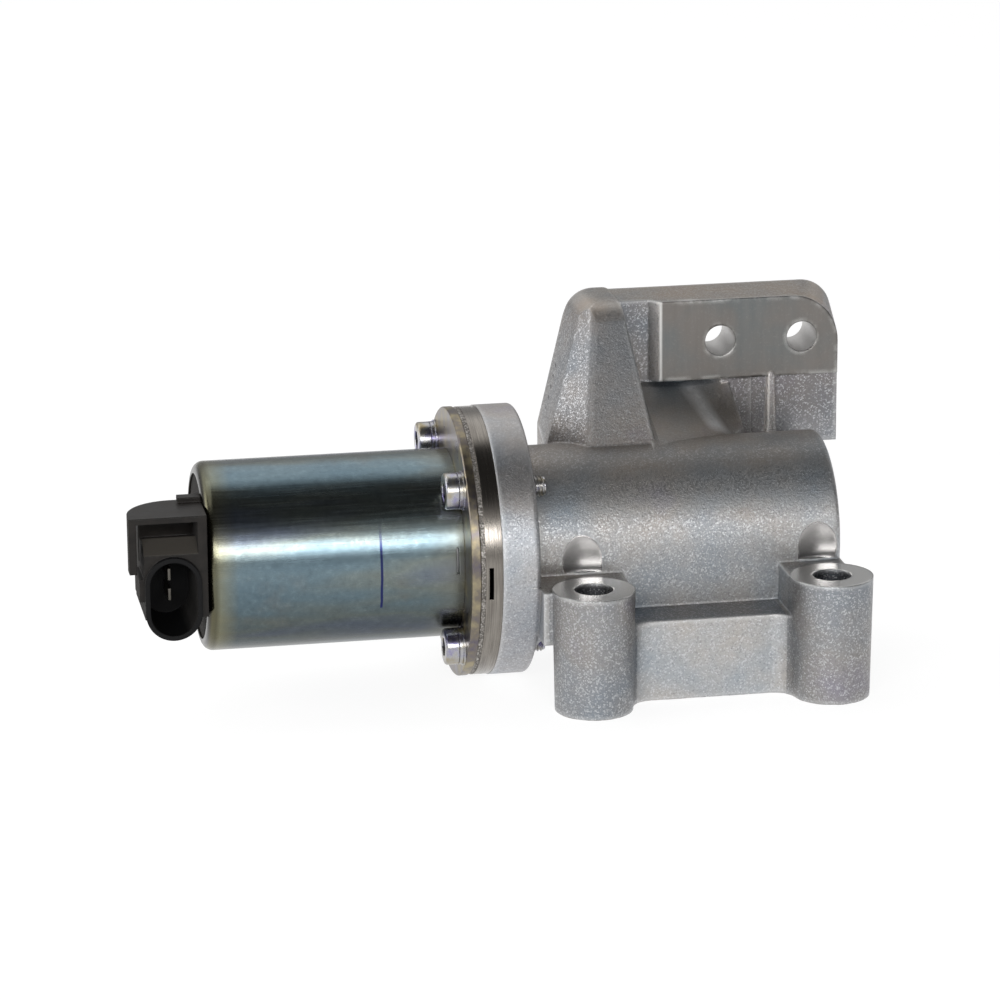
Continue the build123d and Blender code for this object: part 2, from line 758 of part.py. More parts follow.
def stem_bush():
    """Guide bush for the stem."""
    return ring(cup_floor_x, scraper_left_x, stem_radius + bush_clearance, bush_radius)


def stem_scraper():
    """Ring that scrapes deposits off the stem."""
    return ring(scraper_left_x, carrier_nose_end_x, stem_radius + 2 * bush_clearance, scraper_radius)


def spring_retainer():
    """Washer that takes the spring's load to the clip."""
    return ring(retainer_left_x, retainer_right_x, stem_radius, retainer_radius)


def retainer_clip():
    """Open clip in the stem's groove."""
    left_x = retainer_right_x
    right_x = retainer_right_x + clip_thickness
    clip = ring(left_x, right_x, stem_radius - clip_groove_depth, clip_radius)
    mouth_y = (axis_y - clip_mouth_width / 2, axis_y + clip_mouth_width / 2)
    mouth = block((left_x, right_x), mouth_y, (axis_z - clip_radius - cut_overrun, axis_z))
    return clip - mouth


def return_spring():
    """Coil spring between the flange plate and the retainer."""
    left_x = gasket_left_x + spring_wire_radius + spring_end_gap
    right_x = retainer_left_x - spring_wire_radius - spring_end_gap
    pitch = (right_x - left_x) / spring_turns
    place = Pos(left_x, axis_y, axis_z) * Rot(0, 90, 0)
    path = place * Helix(pitch, right_x - left_x, spring_mean_radius)
    section_plane = Plane(origin=path @ 0, z_dir=path % 0)
    section = section_plane * RegularPolygon(spring_wire_radius, wire_sides)
    return sweep(section, path=path, is_frenet=True)


def terminal_shape(z):
    """One upright terminal blade, bent from the shroud towards the coil."""
    left_x = shroud_x - terminal_thickness / 2
    z_range = (z - terminal_width / 2, z + terminal_width / 2)
    blade = block((left_x, left_x + terminal_thickness), (terminal_tip_y, terminal_bend_y), z_range)
    tail = block((left_x, cap_right_x), (terminal_bend_y - terminal_thickness, terminal_bend_y), z_range)
    return blade + tail


def connector_terminals():
    """Two blades stacked one above the other."""
    places = [shroud_z + terminal_rise + side * terminal_pitch / 2 for side in (-1, 1)]
    return [terminal_shape(z) for z in places]


def stadium(half_width, half_height, front_y, back_y):
    """An upright oval along Y at the shroud's centre."""
    straight = half_height - half_width
    body = block((shroud_x - half_width, shroud_x + half_width), (front_y, back_y),
                 (shroud_z - straight, shroud_z + straight))
    for side in (-1, 1):
        body += peg(shroud_x, shroud_z + side * straight, front_y, back_y, half_width)
    return body


def latch_pocket(lower_left_x):
    """Space under the roof: over the lock ramp and behind its crest, and beside the shroud."""
    front_y = shroud_front_y - cut_overrun
    side = Plane(origin=(latch_pocket_x[0], 0, 0), x_dir=(0, 1, 0), z_dir=(1, 0, 0))
    profile = make_face(Polyline(
        (front_y, latch_ramp_front_z), (shroud_front_y, latch_ramp_front_z), (latch_crest_y, latch_crest_z),
        (latch_crest_y, latch_shelf_z), (latch_pocket_back_y, latch_shelf_z),
        (latch_pocket_back_y, latch_pocket_top_z), (front_y, latch_pocket_top_z), close=True
    ))
    over_ramp = extrude(side * profile, latch_pocket_x[1] - latch_pocket_x[0])
    beside_shroud = block((latch_pocket_x[0], lower_left_x), (front_y, latch_pocket_back_y),
                          (connector_block_bottom_z - cut_overrun, latch_pocket_top_z))
    return over_ramp + beside_shroud


def connector_housing():
    """Roofed block, latch pocket and oval shroud."""
    roof_plan = Polyline(
        (connector_left_x, connector_front_y), (cap_left_x, connector_front_y),
        (cap_left_x, connector_back_y), (connector_left_x, connector_back_y), close=True
    )
    upper = extrude(Pos(0, 0, connector_block_bottom_z) * make_face(roof_plan),
                    connector_roof_z - connector_block_bottom_z)
    corner_edge = upper.edges().filter_by(Axis.Z).sort_by(Axis.Y)[-2:].sort_by(Axis.X)[0]
    upper = fillet(corner_edge, connector_corner_radius)
    lower_left_x = shroud_x - shroud_half_width
    lower = block((lower_left_x, cap_left_x), (shroud_front_y + shroud_lip, shroud_back_y),
                  (shroud_z - shroud_half_height / 2, latch_shelf_z))
    lug = block(side_lug_x, side_lug_y, side_lug_z)
    tab = block(roof_tab_x, roof_tab_y, (connector_roof_z, connector_roof_z + roof_tab_height))
    shroud = stadium(shroud_half_width, shroud_half_height, shroud_front_y, shroud_back_y)
    housing = upper + lower - latch_pocket(lower_left_x) + lug + tab + shroud
    cavity = stadium(shroud_half_width - shroud_wall, shroud_half_height - shroud_wall,
                     shroud_front_y - cut_overrun, shroud_floor_y)
    past_rim = ring(can_left_x - fit_gap, cap_left_x, can_mouth_radius - fit_gap, connector_trim_radius)
    return housing - cavity - past_rim


def cap_seal():
    """Round sealing ring in the cap's groove."""
    centre_radius = can_inner_radius - seal_section_radius
    plane = Plane(origin=(0, axis_y, axis_z), x_dir=(1, 0, 0), z_dir=(0, -1, 0))
    section = plane * Pos(cap_middle_x, centre_radius) * RegularPolygon(seal_section_radius, wire_sides)
    return revolve(section, axis=valve_axis)


def end_cap():
    """Moulded cap disc with its sealing groove and the connector housing."""
    disc = rod(cap_left_x, cap_right_x, cap_radius)
    groove_radius = can_inner_radius - 2 * seal_section_radius
    groove_half = seal_groove_width / 2
    disc -= ring(cap_middle_x - groove_half, cap_middle_x + groove_half, groove_radius, can_radius)
    shape = disc + connector_housing()
    for blade in connector_terminals():
        shape -= blade
    return shape


def save(name, shape):
    """Write one sub-part."""
    solid = Compound(children=shape) if isinstance(shape, list) else shape
    export_step(solid, f"parts/{name}.step")


os.makedirs("parts", exist_ok=True)
save("valve_body", valve_body())
save("spacer_ring", spacer_ring())
save("flange_gasket", flange_gasket())
save("flange_plate", flange_plate())
save("flange_screws", flange_screws())
save("spring_washers", spring_washers())
save("flat_washers", flat_washers())
save("solenoid_can", solenoid_can())
save("fixed_pole", fixed_pole())
save("front_pole", front_pole())
save("coil_bobbin", coil_bobbin())
save("coil_winding", coil_winding())
save("armature_sleeve", armature_sleeve())
save("stop_shim", stop_shim())
save("armature", armature())
save("valve_stem", valve_stem())
save("valve_seat", valve_seat())
save("valve_poppet", valve_poppet())
save("stem_carrier", stem_carrier())
save("stem_bush", stem_bush())
save("stem_scraper", stem_scraper())
save("spring_retainer", spring_retainer())
save("retainer_clip", retainer_clip())
save("return_spring", return_spring())
save("end_cap", end_cap())
save("cap_seal", cap_seal())
save("connector_terminals", connector_terminals())
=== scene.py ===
import math

import bmesh
import bpy
from mathutils import Matrix, Vector


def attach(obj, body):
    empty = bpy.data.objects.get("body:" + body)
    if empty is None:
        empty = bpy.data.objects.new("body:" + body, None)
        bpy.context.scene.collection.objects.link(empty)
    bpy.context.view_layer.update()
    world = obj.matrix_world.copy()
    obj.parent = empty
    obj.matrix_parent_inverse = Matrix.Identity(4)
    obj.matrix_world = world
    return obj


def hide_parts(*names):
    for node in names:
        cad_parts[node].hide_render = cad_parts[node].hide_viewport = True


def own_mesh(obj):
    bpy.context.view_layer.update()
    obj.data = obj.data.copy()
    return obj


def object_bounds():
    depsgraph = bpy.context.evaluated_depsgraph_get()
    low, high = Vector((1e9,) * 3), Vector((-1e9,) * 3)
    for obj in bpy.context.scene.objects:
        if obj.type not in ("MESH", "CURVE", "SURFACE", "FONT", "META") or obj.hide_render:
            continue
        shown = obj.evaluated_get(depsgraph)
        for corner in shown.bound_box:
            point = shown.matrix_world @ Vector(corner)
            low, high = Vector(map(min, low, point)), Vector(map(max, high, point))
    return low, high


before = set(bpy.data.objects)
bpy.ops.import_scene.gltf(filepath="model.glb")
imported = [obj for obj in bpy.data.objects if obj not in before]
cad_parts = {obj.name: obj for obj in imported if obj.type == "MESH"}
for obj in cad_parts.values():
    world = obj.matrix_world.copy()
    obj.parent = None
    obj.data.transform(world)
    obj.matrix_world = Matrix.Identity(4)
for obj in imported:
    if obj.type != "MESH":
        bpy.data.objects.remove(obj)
cad_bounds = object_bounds()

# Solenoid exhaust gas recirculation valve. Lengths are in metres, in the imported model's frame.
MM = 0.001

# Camera
CAMERA_TARGET = Vector((-43.275, 35.15, 40.77)) * MM
CAMERA_DISTANCE = 1054.72 * MM
CAMERA_AZIMUTH = math.radians(-10.27)
CAMERA_ELEVATION = math.radians(16.18)
CAMERA_ROLL = math.radians(-0.4)
CAMERA_LENS = 162.005
CAMERA_SENSOR = 36.0

# Studio
FLOOR_HALF_SIZE = 4.0
FLOOR_COLOUR = (0.86, 0.86, 0.86, 1.0)
FLOOR_GLOW_SHARE = 0.75
FLOOR_GLOW_STRENGTH = 1.175

# Room light: greys from the front horizon at 0, over the top at 0.5, to the back horizon at 1
ROOM_GREYS = (
    (0.0, 0.20), (0.035, 0.24), (0.06, 0.13), (0.09, 0.14), (0.12, 0.31), (0.19, 0.28),
    (0.26, 0.022), (0.57, 0.022), (0.64, 0.76), (0.78, 0.74), (0.88, 0.26), (1.0, 0.22),
)
ROOM_STRENGTH_LEFT = 2.0
ROOM_STRENGTH_RIGHT = 1.2

# Lamps: name, place, target, width and height, and power in watts
LAMPS = (
    ("front_lamp", (-0.45, -1.45, 0.62), (-0.04, 0.03, 0.03), (1.7, 0.36), 17.0),
    ("ceiling_lamp", (-0.45, 0.25, 1.1), (-0.04, 0.03, 0.03), (0.9, 0.6), 1.5),
    ("left_lamp", (-1.2, 0.15, 0.35), (-0.02, 0.04, 0.05), (0.9, 0.9), 5.0),
)

# Valve axis and the places that the finishes and the painted light and shade follow
AXIS_Y = 35.0 * MM
AXIS_Z = 31.5 * MM
BOSS_X = 28.0 * MM
BOSS_TOP_Z = 28.6 * MM
SPOTFACE_RADIUS = 14.3 * MM
BITE_HALF_WIDTH = 5.05 * MM
BOSS_SIDE_RADIUS = 10.3 * MM
BROW_FOOT_Z = 70.0 * MM
PAD_FRONT_Y = 54.0 * MM
PAD_LEFT_X = -1.0 * MM
PAD_BOTTOM_Z = 62.2 * MM
PLATE_CAST_Y = 56.5 * MM
PLATE_WALL_Y = 53.9 * MM
PLATE_BACK_Y = 68.0 * MM
PLATE_TOP_Z = 83.0 * MM
PLATE_HOLES_X = 23.8 * MM
PLATE_HOLES_Z = 71.7 * MM
PLATE_HOLE_SPREAD = 10.0 * MM
PLATE_HOLE_RADIUS = 3.65 * MM
STEP_LEFT_X = -5.0 * MM
STEP_BOTTOM_Z = 42.0 * MM
FLANGE_RIGHT_X = -39.5 * MM
SLAB_HALF_LENGTH = 17.7 * MM
SLAB_BACK_Y = 16.0 * MM
SLAB_TOP_Z = 19.2 * MM
BARREL_RADIUS = 21.5 * MM
FOOT_HOLE_RADIUS = 4.5 * MM
CREST_TOP_Z = 51.0 * MM
CREST_FADE_Z = 58.0 * MM
UPPER_WALL_FOOT_Z = 42.0 * MM
UPPER_WALL_TOP_Z = 54.0 * MM
FACE_MARGIN = 0.1 * MM
RING_PITCH = 0.5 * MM
PLATE_TOP_BAND = 4.0 * MM
PAD_LINE_WIDTH = 0.3 * MM
PAD_LINE_FADE_WIDTH = 0.8 * MM
SQUARE_TO_FRONT = -0.95
FINE_RELIEF = 0.05 * MM

# Painted highlight along the ridge of the duct roof, and painted light on the roof
RIDGE_FOOT_X = 11.1 * MM
RIDGE_FOOT_Y = 38.6 * MM
RIDGE_FOOT_Z = 51.0 * MM
RIDGE_TOP_Y = 56.0 * MM
RIDGE_SLOPE = -0.31
RIDGE_HALF_WIDTH = 3.2 * MM
RIDGE_CORE_SHARE = 0.2
RIDGE_FOOT_FADE = 3.0 * MM
RIDGE_TOP_FADE = 4.0 * MM
DUCT_LEFT_X = -5.5 * MM
DUCT_FOOT_Z = 52.0 * MM
DUCT_FOOT_FADE = 2.0 * MM
DUCT_BACK_Y = 54.6 * MM

# Row of small round marks down the gusset's left face
MARK_TOP_Z = 65.7 * MM
MARK_TOP_Y = 61.8 * MM
MARK_PITCH = 2.45 * MM
MARK_DRIFT = -0.5 * MM
MARK_COUNT = 5
MARK_RADIUS = 0.42 * MM
MARK_CORE_SHARE = 0.6
MARK_SQUASH = 0.3
MARK_RIGHT_X = -20.0 * MM

# Flange screws
SCREW_COUNT = 4
SCREW_CIRCLE = 26.9 * MM
SCREW_ANGLE = math.radians(48.0)
SCREW_HEAD_LEFT_X = -60.1 * MM
SCREW_HEAD_HEIGHT = 3.2 * MM
SCREW_HEAD_RADIUS = 4.25 * MM
SCREW_HEAD_SIDES = 48
SCREW_HEAD_ROUNDING = 0.7 * MM
SCREW_ROUNDING_STEPS = 5
SCREW_HEAD_BEVEL = 0.2 * MM
SCREW_SOCKET_FLATS = 4.0 * MM
SCREW_SOCKET_DEPTH = 1.8 * MM
SCREW_SOCKET_BEVEL_DEPTH = 0.15 * MM
SCREW_SOCKET_BEVEL_WIDTH = 0.35 * MM
SCREW_SHANK_RADIUS = 2.5 * MM
SCREW_TIP_X = -36.5 * MM
SCREW_PITCH = 0.8 * MM
SCREW_THREAD_DEPTH = 0.42 * MM
SCREW_SHANK_SIDES = 24
SCREW_RINGS_ALONG = 160

# Return spring
SPRING_SEAT_X = -53.3 * MM
SPRING_RETAINER_X = -41.5 * MM
SPRING_END_GAP = 0.05 * MM
SPRING_MEAN_RADIUS = 7.0 * MM
SPRING_WIRE_RADIUS = 0.6 * MM
SPRING_TURNS = 4.5
SPRING_STEPS_PER_TURN = 48
SPRING_WIRE_SIDES = 16
SMOOTH_BELOW = math.radians(35.0)

# Coil winding
WIRE_PITCH = 0.6 * MM

# Can
CAN_LEFT_X = -114.8 * MM
CAN_RIGHT_X = -55.5 * MM
CAN_SHADE_TOP_Z = AXIS_Z + 2.0 * MM
CAN_SHADE_BOTTOM_Z = AXIS_Z - 19.0 * MM
CAN_RIGHT_STRAW_WIDTH = 9.0 * MM

# Bands at the can's left end: how far in each one starts, and how far in it is full
CAN_LEFT_STRAW = (7.0 * MM, 1.0 * MM)
CAN_LEFT_ROLL = (2.8 * MM, 1.8 * MM)
CAN_LEFT_LIP = (0.9 * MM, 0.3 * MM)

# Painted line across the can
LINE_X = -74.85 * MM
LINE_HALF_WIDTH = 0.36 * MM
LINE_CORE_SHARE = 0.6
LINE_WANDER = 0.3 * MM
LINE_START_FADE = 0.6 * MM
LINE_BOTTOM_Z = 22.3 * MM
LINE_TOP_Z = 37.0 * MM
LINE_FADE_Z = 43.0 * MM

# Connector
SHROUD_X = -122.85 * MM
SHROUD_Z = 28.4 * MM
SHROUD_STRAIGHT = 3.3 * MM
SHROUD_RADIUS = 6.55 * MM
SHROUD_FLOOR_Y = 31.0 * MM
RAMP_BOTTOM_Z = 38.0 * MM
RAMP_TOP_Z = 41.8 * MM
RAMP_BACK_Y = 18.3 * MM


class Nodes:
    """A node tree of any kind, built node by node."""

    def __init__(self, tree):
        self.tree = tree

    def node(self, kind, **settings):
        made = self.tree.nodes.new(kind)
        for key, value in settings.items():
            setattr(made, key, value)
        return made

    def feed(self, socket, source):
        """Link a socket to a source, or set it to a plain value."""
        if isinstance(source, bpy.types.NodeSocket):
            self.tree.links.new(source, socket)
        else:
            socket.default_value = source

    def math(self, operation, first, second=0.0, third=None):
        made = self.node("ShaderNodeMath", operation=operation)
        self.feed(made.inputs[0], first)
        self.feed(made.inputs[1], second)
        if third is not None:
            self.feed(made.inputs[2], third)
        return made.outputs["Value"]

    def product(self, first, *others):
        for other in others:
            first = self.math("MULTIPLY", first, other)
        return first

    def largest(self, first, *others):
        for other in others:
            first = self.math("MAXIMUM", first, other)
        return first

    def parts(self, vector):
        """The X, Y and Z of a vector."""
        made = self.node("ShaderNodeSeparateXYZ")
        self.feed(made.inputs["Vector"], vector)
        return made.outputs["X"], made.outputs["Y"], made.outputs["Z"]

    def span(self, source, low, high, to_low=0.0, to_high=1.0):
        """A value mapped from one span to another and held inside it."""
        made = self.node("ShaderNodeMapRange", clamp=True)
        self.feed(made.inputs["Value"], source)
        for name, value in (("From Min", low), ("From Max", high), ("To Min", to_low), ("To Max", to_high)):
            made.inputs[name].default_value = value
        return made.outputs["Result"]

    def ramp(self, source, stops):
        """Colours along a value, from (place, colour) stops."""
        made = self.node("ShaderNodeValToRGB")
        elements = made.color_ramp.elements
        while len(elements) < len(stops):
            elements.new(1.0)
        for element, (place, colour) in zip(elements, stops):
            element.position = place
            element.color = (*colour, 1.0)
        self.feed(made.inputs["Fac"], source)
        return made.outputs["Color"]


class Finish(Nodes):
    """One procedural material round a principled shader."""

    def __init__(self, name, colour, roughness, metallic=0.0):
        self.material = bpy.data.materials.new(name)
        self.material.use_nodes = True
        super().__init__(self.material.node_tree)
        self.shader = self.tree.nodes["Principled BSDF"]
        self.shader.inputs["Base Color"].default_value = (*colour, 1.0)
        self.shader.inputs["Roughness"].default_value = roughness
        self.shader.inputs["Metallic"].default_value = metallic
        self.place = self.node("ShaderNodeTexCoord").outputs["Object"]

    def stretched(self, stretch):
        """The object place with each axis scaled by its own factor."""
        mapping = self.node("ShaderNodeMapping")
        mapping.inputs["Scale"].default_value = stretch
        self.feed(mapping.inputs["Vector"], self.place)
        return mapping.outputs["Vector"]

    def noise(self, scale, detail=3.0, roughness=0.55, place=None):
        made = self.node("ShaderNodeTexNoise")
        made.inputs["Scale"].default_value = scale
        made.inputs["Detail"].default_value = detail
        made.inputs["Roughness"].default_value = roughness
        self.feed(made.inputs["Vector"], place or self.place)
        return made.outputs["Fac"]

    def cells(self, scale):
        """One random grey for each grain of the surface."""
        made = self.node("ShaderNodeTexVoronoi")
        made.inputs["Scale"].default_value = scale
        self.feed(made.inputs["Vector"], self.place)
        grey = self.node("ShaderNodeSeparateColor")
        self.feed(grey.inputs["Color"], made.outputs["Color"])
        return grey.outputs["Red"]

    def blend(self, share, first, second, mode="MIX"):
        """Two colours mixed by a share."""
        made = self.node("ShaderNodeMix", data_type="RGBA", blend_type=mode)
        self.feed(made.inputs[0], share)
        for socket, source in ((made.inputs[6], first), (made.inputs[7], second)):
            self.feed(socket, (*source, 1.0) if isinstance(source, tuple) else source)
        return made.outputs[2]

    def between(self, share, first, second):
        """Two plain values mixed by a share."""
        rest = self.math("SUBTRACT", 1.0, share)
        return self.math("ADD", self.product(first, rest), self.product(second, share))

    def axes(self):
        return self.parts(self.place)

    def facing(self, axis):
        """How far a surface faces along an axis, from -1 to 1."""
        normal = self.parts(self.node("ShaderNodeTexCoord").outputs["Normal"])
        return normal["XYZ".index(axis)]

    def above(self, source, limit):
        return self.math("GREATER_THAN", source, limit)

    def below(self, source, limit):
        return self.math("LESS_THAN", source, limit)

    def away(self, source, middle):
        """How far a value lies from a middle one, to either side."""
        return self.math("ABSOLUTE", self.math("SUBTRACT", source, middle))

    def distance(self, first, second):
        """The length of the slanting side over two square ones."""
        return self.math("SQRT", self.math("ADD", self.product(first, first), self.product(second, second)))

    def bump(self, height, strength, distance, normal=None):
        made = self.node("ShaderNodeBump")
        made.inputs["Strength"].default_value = strength
        made.inputs["Distance"].default_value = distance
        self.feed(made.inputs["Height"], height)
        if normal is not None:
            self.feed(made.inputs["Normal"], normal)
        return made.outputs["Normal"]

    def soft_edges(self, radius, samples=6):
        """A normal that rolls over every sharp edge."""
        made = self.node("ShaderNodeBevel", samples=samples)
        made.inputs["Radius"].default_value = radius
        return made.outputs["Normal"]

    def outer_edge(self, reach, samples=4):
        """How near a point lies to an outer edge, from 0 to 1."""
        made = self.node("ShaderNodeAmbientOcclusion", samples=samples, inside=True)
        made.inputs["Distance"].default_value = reach
        return self.span(made.outputs["AO"], 0.95, 0.55)

    def finish(self, colour=None, roughness=None, normal=None):
        if colour is not None:
            self.feed(self.shader.inputs["Base Color"], colour)
        if roughness is not None:
            self.feed(self.shader.inputs["Roughness"], roughness)
        if normal is not None:
            self.feed(self.shader.inputs["Normal"], normal)
        return self.material


def far_faces(surface):
    """1 on the back of the port plate and on the seating face of the foot."""
    y, z = surface.axes()[1:]
    return surface.largest(surface.above(y, PLATE_BACK_Y - FACE_MARGIN), surface.below(z, FACE_MARGIN))


def milled_shares(surface):
    """1 on the milled bosses, 1 on the other milled faces, and the distance from a boss's axis."""
    x, y, z = surface.axes()
    from_boss_x = surface.math("SUBTRACT", surface.math("ABSOLUTE", x), BOSS_X)
    from_boss = surface.distance(from_boss_x, y)
    on_top = surface.below(z, BOSS_TOP_Z + FACE_MARGIN)
    in_bite = surface.below(surface.math("ABSOLUTE", from_boss_x), BITE_HALF_WIDTH)
    bosses = surface.product(surface.below(from_boss, SPOTFACE_RADIUS),
                             surface.above(z, BOSS_TOP_Z - FACE_MARGIN), surface.largest(on_top, in_bite))
    pad = surface.product(surface.below(surface.away(y, PAD_FRONT_Y), FACE_MARGIN),
                          surface.above(x, PAD_LEFT_X), surface.above(z, PAD_BOTTOM_Z))
    return bosses, surface.largest(pad, far_faces(surface)), from_boss


def pin_marks(surface):
    """1 inside each small round mark in the row down the gusset's left face."""
    x, y, z = surface.axes()
    steps = surface.math("DIVIDE", surface.math("SUBTRACT", MARK_TOP_Z, z), MARK_PITCH)
    nearest = surface.math("ROUND", steps)
    along = surface.product(surface.math("SUBTRACT", steps, nearest), MARK_PITCH)
    line_y = surface.math("MULTIPLY_ADD", nearest, MARK_DRIFT, MARK_TOP_Y)
    across = surface.product(surface.math("SUBTRACT", y, line_y), MARK_SQUASH)
    inside = surface.span(surface.distance(along, across), MARK_RADIUS, MARK_CORE_SHARE * MARK_RADIUS)
    return surface.product(inside, surface.above(steps, -0.5), surface.below(steps, MARK_COUNT - 0.5),
                           surface.below(x, MARK_RIGHT_X))


def ridge_highlight(surface):
    """1 along the rounded ridge of the duct roof, where a highlight is painted, fading to both sides and
    both ends.
    """
    x, y, z = surface.axes()
    ridge_x = surface.math("MULTIPLY_ADD", y, RIDGE_SLOPE, RIDGE_FOOT_X - RIDGE_SLOPE * RIDGE_FOOT_Y)
    off_ridge = surface.away(x, ridge_x)
    return surface.product(surface.span(off_ridge, RIDGE_HALF_WIDTH, RIDGE_CORE_SHARE * RIDGE_HALF_WIDTH),
                           surface.span(y, RIDGE_FOOT_Y, RIDGE_FOOT_Y + RIDGE_FOOT_FADE),
                           surface.span(y, RIDGE_TOP_Y, RIDGE_TOP_Y - RIDGE_TOP_FADE),
                           surface.above(z, RIDGE_FOOT_Z))


def drilled_walls(surface):
    """1 on the walls of the two bolt holes in the port plate."""
    x, y, z = surface.axes()
    off_axis = surface.distance(surface.math("SUBTRACT", surface.away(x, PLATE_HOLES_X), PLATE_HOLE_SPREAD),
                                surface.math("SUBTRACT", z, PLATE_HOLES_Z))
    return surface.product(surface.below(off_axis, PLATE_HOLE_RADIUS + FACE_MARGIN),
                           surface.above(y, PAD_FRONT_Y + FACE_MARGIN),
                           surface.below(y, PLATE_BACK_Y - FACE_MARGIN))


def step_walls(surface):
    """1 on the port plate's slanting walls that face left and lie in shade, where light is painted, fading
    to their roots.
    """
    x, y, z = surface.axes()
    return surface.product(surface.span(surface.facing("X"), -0.35, -0.6),
                           surface.span(y, PLATE_CAST_Y, PAD_FRONT_Y, 0.15, 1.0),
                           surface.above(x, STEP_LEFT_X), surface.above(z, STEP_BOTTOM_Z))


def duct_roof(surface):
    """1 on the sloped roof of the duct in front of the port plate."""
    x, y, z = surface.axes()
    return surface.product(surface.above(x, DUCT_LEFT_X), surface.below(y, DUCT_BACK_Y),
                           surface.above(surface.facing("Y"), SQUARE_TO_FRONT),
                           surface.span(z, DUCT_FOOT_Z, DUCT_FOOT_Z + DUCT_FOOT_FADE),
                           surface.below(z, PAD_BOTTOM_Z))


def lower_wall(surface):
    """1 on the upright face of the port plate below its pad."""
    x, y, z = surface.axes()
    return surface.product(surface.above(y, PLATE_WALL_Y), surface.below(z, PAD_BOTTOM_Z),
                           surface.above(x, STEP_LEFT_X),
                           surface.below(surface.facing("Y"), SQUARE_TO_FRONT))


def barrel_brow(surface):
    """1 along the upper front of the barrel, fading towards its crest and its middle."""
    x, y, z = surface.axes()
    off_axis = surface.distance(surface.math("SUBTRACT", y, AXIS_Y), surface.math("SUBTRACT", z, AXIS_Z))
    up = surface.facing("Z")
    return surface.product(surface.span(up, 0.42, 0.60), surface.span(up, 0.86, 0.74),
                           surface.below(y, AXIS_Y), surface.below(off_axis, BARREL_RADIUS + FACE_MARGIN),
                           surface.above(x, FLANGE_RIGHT_X))


def painted_light_and_shade(surface, from_boss):
    """Painted light and shade on the casting: a share and a colour factor for each place it is painted
    lighter or darker than its cloud.
    """
    x, y, z = surface.axes()
    up = surface.facing("Z")
    upper = surface.span(up, 0.3, 0.9)
    upper_walls = surface.product(surface.span(z, UPPER_WALL_FOOT_Z, UPPER_WALL_TOP_Z),
                                  surface.math("MULTIPLY_ADD", upper, -0.8, 1.0))
    crest = surface.product(upper, surface.span(z, CREST_FADE_Z, CREST_TOP_Z))
    boss_sides = surface.product(surface.below(from_boss, BOSS_SIDE_RADIUS), surface.below(z, BOSS_TOP_Z))
    plate_brow = surface.product(surface.span(up, 0.52, 0.68), surface.span(up, 0.98, 0.88),
                                 surface.above(z, BROW_FOOT_Z))
    flange = surface.below(x, FLANGE_RIGHT_X + FACE_MARGIN)
    slab = surface.product(surface.below(surface.math("ABSOLUTE", x), SLAB_HALF_LENGTH),
                           surface.below(y, SLAB_BACK_Y), surface.below(z, SLAB_TOP_Z + FACE_MARGIN))
    slab_top = surface.product(slab, upper)
    plate_top = surface.product(upper, surface.above(z, PLATE_TOP_Z - PLATE_TOP_BAND))
    foot_holes = surface.product(surface.below(from_boss, FOOT_HOLE_RADIUS + FACE_MARGIN),
                                 surface.below(z, BOSS_TOP_Z - FACE_MARGIN))
    downward = surface.span(up, 0.0, -0.5)
    # Painted shade on the upper walls, the barrel's crest, the boss sides, the slab's top, the plate's top,
    # the lower wall, the foot holes and downward faces; painted light on the plate's brow, the flange, the
    # slab, the barrel's brow band and the duct roof.
    return (
        (upper_walls, (0.64, 0.62, 0.62)),
        (crest, (0.66, 0.63, 0.60)),
        (boss_sides, (0.78, 0.79, 0.81)),
        (plate_brow, (1.52, 1.50, 1.48)),
        (flange, (1.2, 1.2, 1.22)),
        (slab, (1.18, 1.18, 1.18)),
        (slab_top, (0.60, 0.64, 0.70)),
        (plate_top, (0.88, 0.81, 0.74)),
        (lower_wall(surface), (0.88, 0.90, 0.94)),
        (barrel_brow(surface), (1.32, 1.38, 1.44)),
        (foot_holes, (0.35, 0.35, 0.36)),
        (downward, (0.84, 0.87, 0.92)),
        (duct_roof(surface), (1.4, 1.38, 1.35)),
    )


def cloud_with_painted_light(surface, from_boss):
    """The casting's cloudy grey with painted light and shade place by place, a painted highlight along the
    duct roof's ridge and painted light on the slanting walls.
    """
    tint = surface.ramp(surface.noise(48.0, 4.0), [
        (0.30, (0.31, 0.34, 0.37)), (0.47, (0.38, 0.38, 0.38)),
        (0.58, (0.40, 0.38, 0.36)), (0.72, (0.37, 0.35, 0.38)),
    ])
    # Painted light and shade, place by place.
    for share, factor in painted_light_and_shade(surface, from_boss):
        tint = surface.blend(share, tint, factor, "MULTIPLY")
    # Painted highlight along the duct roof's ridge.
    tint = surface.blend(surface.product(ridge_highlight(surface), 0.95), tint, (1.0, 1.0, 1.0))
    # Painted light on the left-facing slanting walls of the port plate.
    return surface.blend(step_walls(surface), tint, (0.92, 0.88, 0.84))


def sanded(surface, tint, grain, sand, calm):
    """A tint with bright grains that are partly painted glints, and dark pits of sand."""
    grain_and_glint = surface.product(surface.span(grain, 0.70, 1.0, 0.0, 0.55), calm)
    dark_grain = surface.product(surface.span(sand, 0.47, 0.32, 0.0, 0.45), calm)
    speckled = surface.blend(grain_and_glint, tint, (0.72, 0.73, 0.75))
    return surface.blend(dark_grain, speckled, (0.15, 0.15, 0.155))


